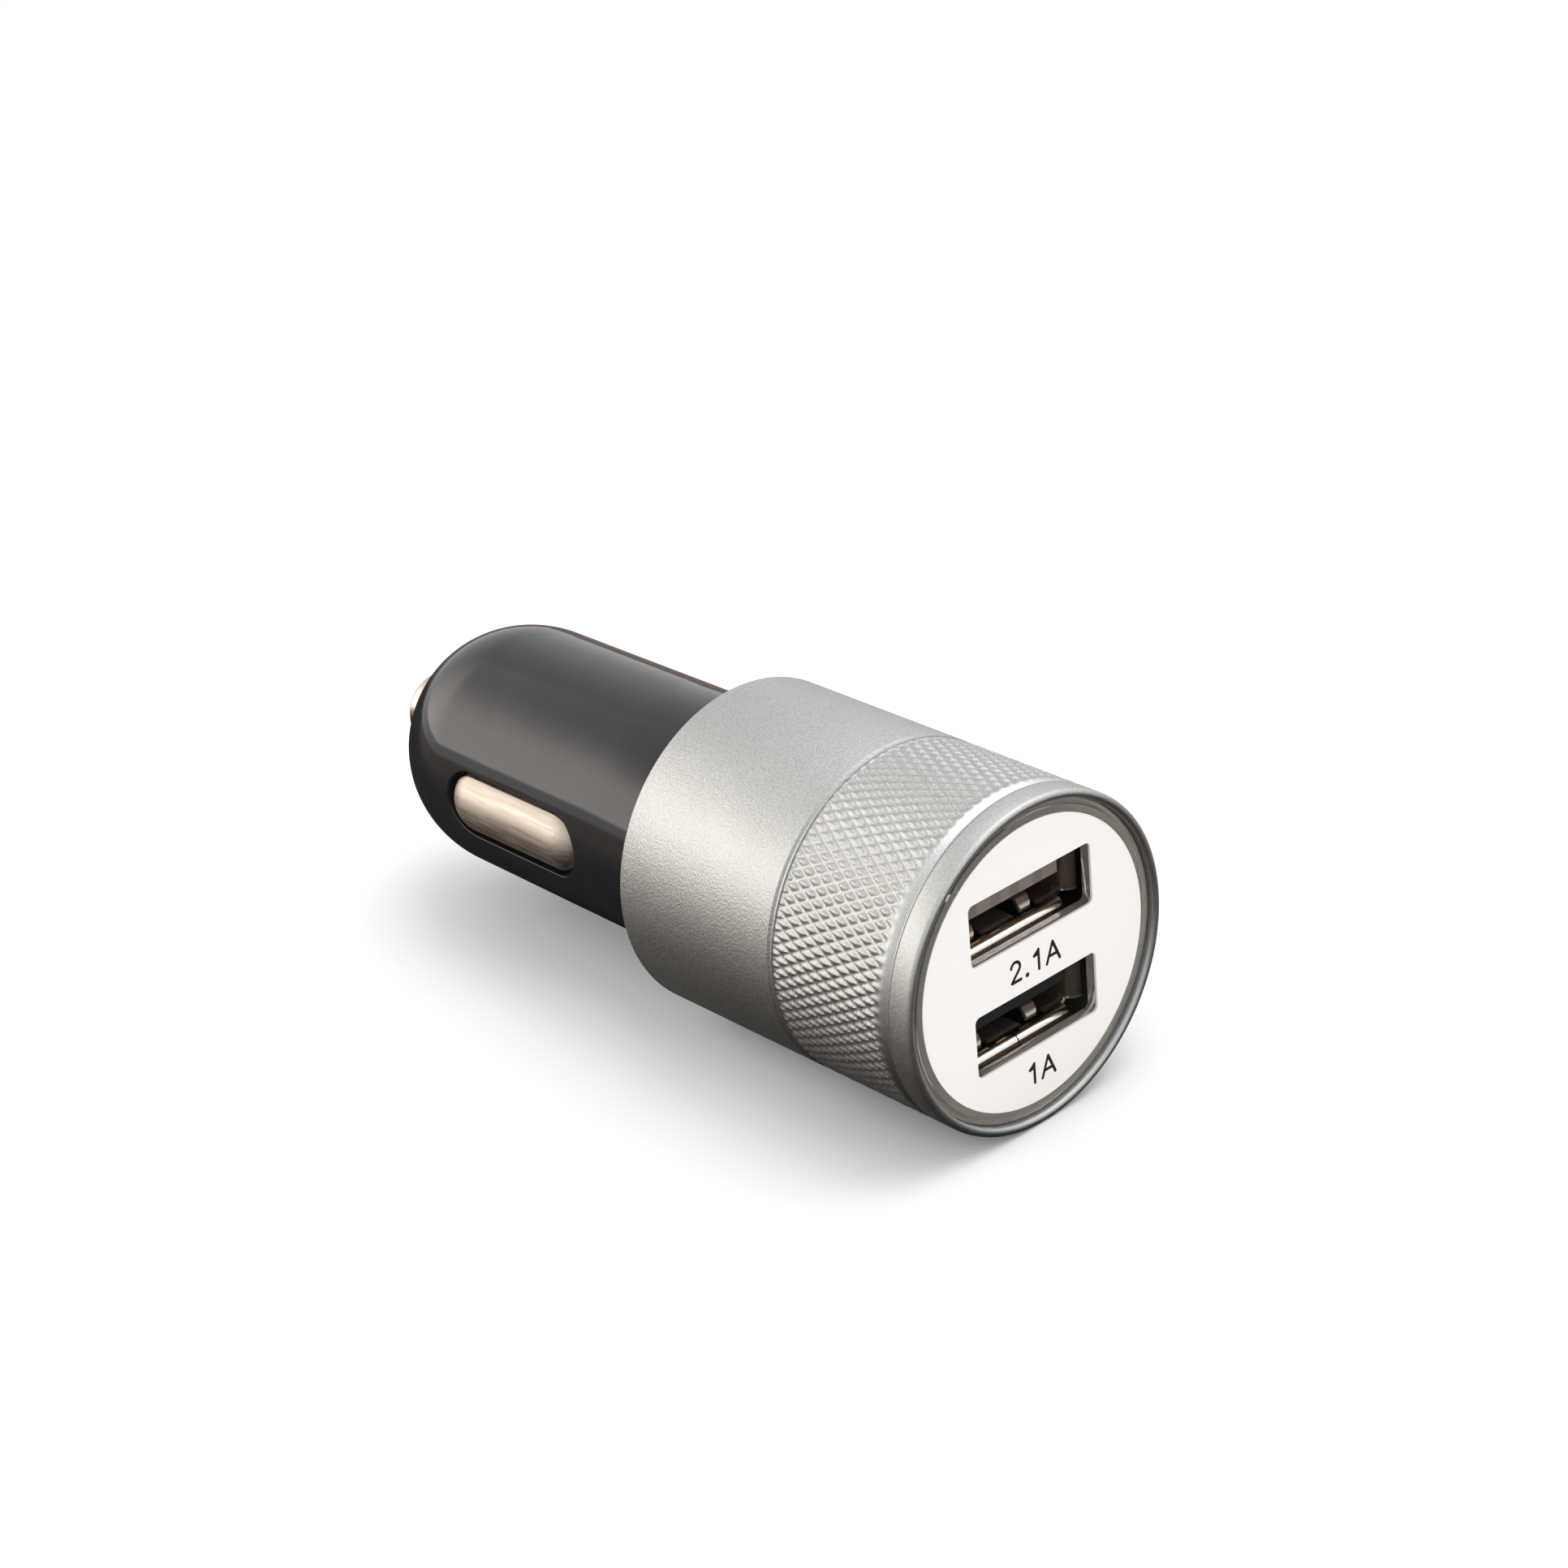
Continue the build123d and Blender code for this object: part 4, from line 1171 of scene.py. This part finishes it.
class CHARGER_OT_contacts(Operator):
    """Builds the sprung tip and the two side contacts"""

    bl_idname = "charger.contacts"
    bl_label = "Contacts"

    def execute(self, context):
        c, nickel = settings().contacts, settings().colours.nickel
        tip = plated("tip_nickel", nickel, rough=0.18, grain=0.2)
        side = plated("side_nickel", nickel, rough=0.5, grain=0.3, stretch=(1, 0.05, 1))
        place("tip_pin", self.tip(c), tip, "tip", "tip_contact")
        for hand, facing in (("left", -1), ("right", 1)):
            skin, body, node = self.side_contact(c, facing), f"ground_{hand}", f"ground_contact_{hand}"
            place(f"side_contact_{hand}", skin, side, body, node)
        return {"FINISHED"}

    def tip(self, c, dome_steps=20):
        """Turned pin: a stem, a flange and a round dome of the cap's height."""
        back = c.flange_front - c.flange_thickness
        dome_radius = (c.tip_radius**2 + c.tip_dome**2) / (2 * c.tip_dome)
        a = np.linspace(np.arccos(c.tip_radius / dome_radius), pi / 2, dome_steps)
        cap = np.stack([dome_radius * np.cos(a), c.tip_end - dome_radius + dome_radius * np.sin(a)], -1)
        shank = [
            (0, c.stem_back),
            (c.stem_radius, c.stem_back),
            (c.stem_radius, back),
            (c.tip_flange, back),
            (c.tip_flange, c.flange_front),
            (c.tip_radius, c.flange_front),
            cap[0],
        ]
        profile = np.concatenate([rounded(shank, c.edge_round), cap[1:]])
        return Skin().add(turned(*profile.T, full_turn(c.tip_columns)))

    def side_contact(self, c, facing):
        """Drawn cap with a curved flange, as rings round its middle line.

        Over the pad a ring's height is that of a round bar at the ring's distance from the middle line. The
        flange's rings lie on the barrel's round inside, and the same rings come back one sheet lower.
        """
        axis, along, across = stadium_ring(c.pad_straight / 2, per_end=24, per_side=20)
        middle = settings().body.slot_centre
        bar = c.crown - c.crown_radius

        def bent(y, z, radius):
            """Ring on a round surface about the plug's axis."""
            return points(np.sqrt(radius**2 - z**2), middle + y, z)

        def pad(half_width, radius, flange, steps=14):
            """Rings of one side of the sheet from the middle line to the flange."""
            spread = half_width * np.sin(np.linspace(0, pi / 2, steps))[:, None]
            height = bar + np.sqrt(radius**2 - spread**2)
            rings = points(height, middle + axis + spread * along, spread * across)
            return [*rings, bent(axis + half_width * along, half_width * across, flange)]

        inner_flange = c.side_flange - c.sheet
        outside = pad(c.pad_width / 2, c.crown_radius, c.side_flange)
        inside = pad(c.pad_width / 2 - c.sheet, c.crown_radius - c.sheet, inner_flange)
        y, z = outside[-1][:, 1] - middle, outside[-1][:, 2]
        stretch = np.maximum(np.abs(y) * 2 / c.side_flange_length, np.abs(z) * 2 / c.side_flange_height)
        borders = [bent(y / stretch, z / stretch, radius) for radius in (c.side_flange, inner_flange)]
        return Skin().add(np.stack(outside + borders + inside[::-1]) * np.array([facing, 1, 1]))


class CHARGER_OT_springs(Operator):
    """Builds the tip's coil and the two leaf springs"""

    bl_idname = "charger.springs"
    bl_label = "Springs"

    def execute(self, context):
        c = settings().contacts
        steel = plated("spring_steel", settings().colours.steel, rough=0.22, grain=0.1)
        first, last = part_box("tip_spring")
        coil = place("tip_coil", self.coil(c, first.y, last.y), steel, "housing", "tip_spring", 40)
        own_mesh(coil)
        first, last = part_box("ground_spring_right")
        for hand, facing in (("left", -1), ("right", 1)):
            skin = self.leaf(c, first, last, facing)
            leaf = place(f"leaf_{hand}", skin, steel, "housing", f"ground_spring_{hand}")
            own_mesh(leaf)
        return {"FINISHED"}

    def coil(self, c, first, last):
        """Tube along a helix: rings of the wire's radius, square to the helix, with closed ends."""
        rise = last - first - 2 * c.wire_radius
        a = np.linspace(0, 2 * pi * c.coil_turns, c.coil_steps * c.coil_turns)
        out = points(np.cos(a), 0.0, np.sin(a))
        along = unit(points(-c.coil_radius * np.sin(a), rise / a[-1], c.coil_radius * np.cos(a)))
        up = np.cross(along, out)
        centre = c.coil_radius * out
        centre[:, 1] += first + c.wire_radius + rise * a / a[-1]
        b = full_turn(c.wire_columns)[None, :, None]
        tube = centre[:, None] + c.wire_radius * (np.cos(b) * out[:, None] + np.sin(b) * up[:, None])
        start, end = (np.repeat(centre[[i], None], c.wire_columns, 1) for i in (0, -1))
        return Skin().add(np.concatenate([start, tube, end]))

    def leaf(self, c, first, last, facing):
        """Strip along a bowed line with rounded bends, as thick as its sheet and as wide as its solid."""
        half = c.leaf_thickness / 2
        foot, crown = first.x + half, last.x - half
        middle = (first.y + last.y) / 2
        corners = [
            (foot, first.y),
            (foot, middle - c.leaf_bow / 2),
            (crown, middle - c.leaf_crown / 2),
            (crown, middle + c.leaf_crown / 2),
            (foot, middle + c.leaf_bow / 2),
            (foot, last.y),
        ]
        line = rounded(corners, c.leaf_bend, steps=10)
        along = unit(np.gradient(line, axis=0))
        side = half * np.stack([along[:, 1], -along[:, 0]], -1)
        edges = ((1, last.z), (-1, last.z), (-1, first.z), (1, first.z))
        grid = np.stack([points(*(line + hand * side).T, z) for hand, z in edges], 1)
        start, end = (np.repeat(grid[[i]].mean(1, keepdims=True), len(edges), 1) for i in (0, -1))
        return Skin().add(np.concatenate([start, grid, end]) * np.array([facing, 1, 1]))


class CHARGER_OT_converter(Operator):
    """Finishes the boards and the converter's components"""

    bl_idname = "charger.converter"
    bl_label = "Converter"

    def execute(self, context):
        c = settings().colours
        dress(board_laminate(c.mask), "socket_board", "main_board")
        dress(plated("tinned_brass", c.brass, rough=0.25, grain=0.2, stretch=(1, 0.2, 1)), "tip_terminal")
        ferrite = plain("ferrite", c.ferrite, 0.25, tones=(0.8, 1.4), rough=0.6, depth=0.01, cells=True)
        dress(ferrite, "inductor_core")
        dress(wound_copper(c.copper), "inductor_winding")
        can = plated("drawn_can", c.steel, rough=0.3, grain=0.2, stretch=(1, 1, 0.1))
        dress(can, "output_capacitor", "input_capacitor")
        dress(compound("chip_compound", c.dark, 0.5), "converter_chip", "rectifier_diode")
        dress(plated("tinned_lead", c.steel, rough=0.28, grain=0.1), "converter_leads", "diode_leads")
        dress(capped_chip("chip_resistors", c.dark, c.tin, half_body=0.55), "chip_resistors")
        dress(capped_chip("chip_capacitors", c.ceramic, c.tin, half_body=0.7), "chip_capacitors")
        dress(plain("indicator_lens", c.lens, 0.3, tones=(0.9, 1.05), rough=0.23), "indicator_led")
        return {"FINISHED"}


def pose(right, up, back, stand):
    """Place of an object from its own three axes and where it stands."""
    return Matrix(np.vstack([np.column_stack([right, up, back, stand]), [0, 0, 0, 1]]))


class CHARGER_OT_stage(Operator):
    """Sets the floor, the room's light, the soft box and the camera"""

    bl_idname = "charger.stage"
    bl_label = "Stage"

    def execute(self, context):
        s = settings().stage
        context.scene.view_settings.view_transform = "Standard"
        self.room(s)
        self.floor(s)
        self.shade_card(s)
        self.soft_box(s)
        self.camera(s)
        return {"FINISHED"}

    def room(self, s):
        """White room: plain white where it is seen, mirrored or looked through, and soft light elsewhere."""
        world = bpy.data.worlds.new("room")
        bpy.context.scene.world = world
        paint = Paint(world)
        strength = s.world_strength + paint.seen() * (1 - s.world_strength)
        light = paint.node("ShaderNodeBackground", {"Color": WHITE, "Strength": strength})
        paint.node("ShaderNodeOutputWorld", {"Surface": light})

    def sheet(self, name, grid, look, mirrored_only=False):
        """Stage sheet from a grid of points, which all rays or only mirrored ones see."""
        sheet = added(name, Skin().add(grid, close_columns=False).mesh(name, crease=30))
        sheet.data.materials.append(look)
        if mirrored_only:
            for ray in ("camera", "diffuse", "shadow", "transmission", "volume_scatter"):
                setattr(sheet, f"visible_{ray}", False)
        return sheet

    def floor(self, s, lines=5):
        """Pale floor that takes the plug's shadow, and fades to plain white far away where it is seen."""
        paint = finish("pale_floor")
        fleck = paint.noise(size=400, detail=1)
        base = paint.tones(fleck, s.floor_colour, dark=0.995, light=1)
        reach = paint.node("ShaderNodeVectorMath", {0: paint.coordinates()}, "Value", operation="LENGTH")
        far = reach.step(s.floor_lit, s.floor_plain) * paint.seen()
        white = paint.node("ShaderNodeEmission", {"Color": WHITE, "Strength": 1.0})
        lit = paint.shader(Base_Color=base, Roughness=0.9, Specular_IOR_Level=0.0)
        pale = paint.end(paint.node("ShaderNodeMixShader", {0: far, 1: lit, 2: white}))
        side = np.linspace(-s.floor_size, s.floor_size, lines)
        self.sheet("floor", points(side, side[:, None], s.floor_level), pale)

    def shade_card(self, s, rings=4, rays=49):
        """Dark card on the floor that only mirrors see, as a dark table top under the plug: painted shade in
        the plug's mirrored undersides, darkest by the plug as a painted shadow.
        """
        paint = finish("shade_card")
        # Painted shadow: the card is darkest by the plug and lightens away from it
        aside = abs(paint.axes()[0]).step(s.card_shadow_reach / MM, s.card_light / MM)
        base = paint.blend(aside, s.card_shadow, s.card_far)
        dark = paint.surface(Base_Color=base, Roughness=0.8, Specular_IOR_Level=0.1)
        radius = np.linspace(0, s.card_size, rings)[:, None]
        turn = np.linspace(0, 2 * pi, rays)
        grid = points(radius * np.cos(turn), radius * np.sin(turn), s.floor_level + s.card_lift)
        self.sheet("shade_card", grid, dark, mirrored_only=True)

    def soft_box(self, s):
        """Light overhead, and a soft box at the left: a lamp to matt surfaces and a cloth to mirrors."""
        aim = np.array([0, s.aim, 0])
        self.lamp("top_light", aim, s.key_distance, s.top_side, s.top_power, s.top_size)
        side = self.lamp("soft_box", aim, s.key_distance, s.key_side, s.key_power, s.key_size)
        side.visible_glossy = False
        self.cloth(s, aim)

    def lamp(self, name, aim, distance, side, power, size):
        """Square area lamp at a distance from the point it is aimed at, with its top up."""
        light = bpy.data.lights.new(name, "AREA")
        light.energy, light.size = power, size
        holder = added(name, light)
        back = unit(np.array(side))
        right = unit(np.cross([0, 0, 1], back))
        holder.matrix_world = pose(right, np.cross(back, right), back, aim + distance * back)
        return holder

    def cloth(self, s, aim, columns=60, rows=32):
        """Curved cloth of the soft box, part of a ball about the plug, bright below and fading to its top.

        Its cover rises from 0 at its top and its sides as 3 t squared - 2 t cubed of the way inwards.
        """
        paint = finish("soft_box_cloth")
        aside, _, height = (axis * (MM / s.key_distance) for axis in paint.axes())
        fade = height.step(sin(s.glow_fades), sin(s.glow_faded))
        fade = fade.largest(aside.step(s.glow_fades_aside, s.glow_faded_aside))
        bright = paint.surface(
            Base_Color=(0, 0, 0),
            Specular_IOR_Level=0.0,
            Emission_Color=paint.blend(fade, s.glow_colour, (s.glow_top,) * 3),
            Emission_Strength=s.glow,
            Alpha=paint.attribute("cover"),
        )
        turn = s.cloth_turn + s.cloth_sweep * np.linspace(0, 1, columns)
        rise = s.cloth_foot + s.cloth_rise * np.linspace(0, 1, rows)[:, None]
        ball = points(np.cos(rise) * np.cos(turn), np.cos(rise) * np.sin(turn), np.sin(rise))
        cloth = self.sheet("soft_box_cloth", aim + s.key_distance * ball, bright, mirrored_only=True)
        x, y, z = coordinates(cloth.data) - aim[:, None]
        across = (np.arctan2(y, x) % (2 * pi) - s.cloth_turn) / s.cloth_sweep
        up = (np.arctan2(z, np.hypot(x, y)) - s.cloth_foot) / s.cloth_rise
        inwards = np.minimum(np.minimum(across, 1 - across) / s.cloth_side, (1 - up) / s.cloth_top)
        inwards = np.clip(inwards, 0, 1)
        mark(cloth.data, "cover", inwards**2 * (3 - 2 * inwards))

    def camera(self, s):
        """Camera where the photograph's camera stood, from a fit of the plug's circles and windows."""
        view = bpy.data.cameras.new("camera")
        view.lens, view.sensor_width = s.lens, s.sensor
        view.clip_start, view.clip_end = s.near, s.far
        camera = added("camera", view)
        right = (0.72676256, -0.68198322, -0.08194554)
        up = (0.36348755, 0.28061446, 0.8883312)
        back = (-0.58283187, -0.67539204, 0.45183249)
        stand = np.array([-160.93, -191.46, 131.34]) * MM
        camera.matrix_world = pose(right, up, back, stand)
        bpy.context.scene.camera = camera


class CHARGER_PT_panel(Panel):
    """Lists the plug's pieces in the 3D view's sidebar"""

    bl_idname = "CHARGER_PT_panel"
    bl_label = "Charger plug"
    bl_space_type = "VIEW_3D"
    bl_region_type = "UI"
    bl_category = "Charger"

    def draw(self, context):
        for operator in OPERATORS:
            self.layout.operator(operator.bl_idname)


GROUPS = (SleeveSizes, BodySizes, FaceSizes, ContactSizes, FinishColours, StageSettings, ChargerSettings)
OPERATORS = (
    CHARGER_OT_sleeve,
    CHARGER_OT_body,
    CHARGER_OT_face,
    CHARGER_OT_ports,
    CHARGER_OT_contacts,
    CHARGER_OT_springs,
    CHARGER_OT_converter,
    CHARGER_OT_stage,
)
CLASSES = (*GROUPS, *OPERATORS, CHARGER_PT_panel)


def register():
    """Registers the classes and gives the scene its settings."""
    for item in CLASSES:
        bpy.utils.register_class(item)
    bpy.types.Scene.charger = PointerProperty(type=ChargerSettings)


def unregister():
    """Takes the settings and the classes away."""
    del bpy.types.Scene.charger
    for item in reversed(CLASSES):
        bpy.utils.unregister_class(item)


def main():
    """Builds all pieces and the stage."""
    register()
    for piece in ("sleeve", "body", "face", "ports", "contacts", "springs", "converter", "stage"):
        getattr(bpy.ops.charger, piece)()


if __name__ == "__main__":
    main()
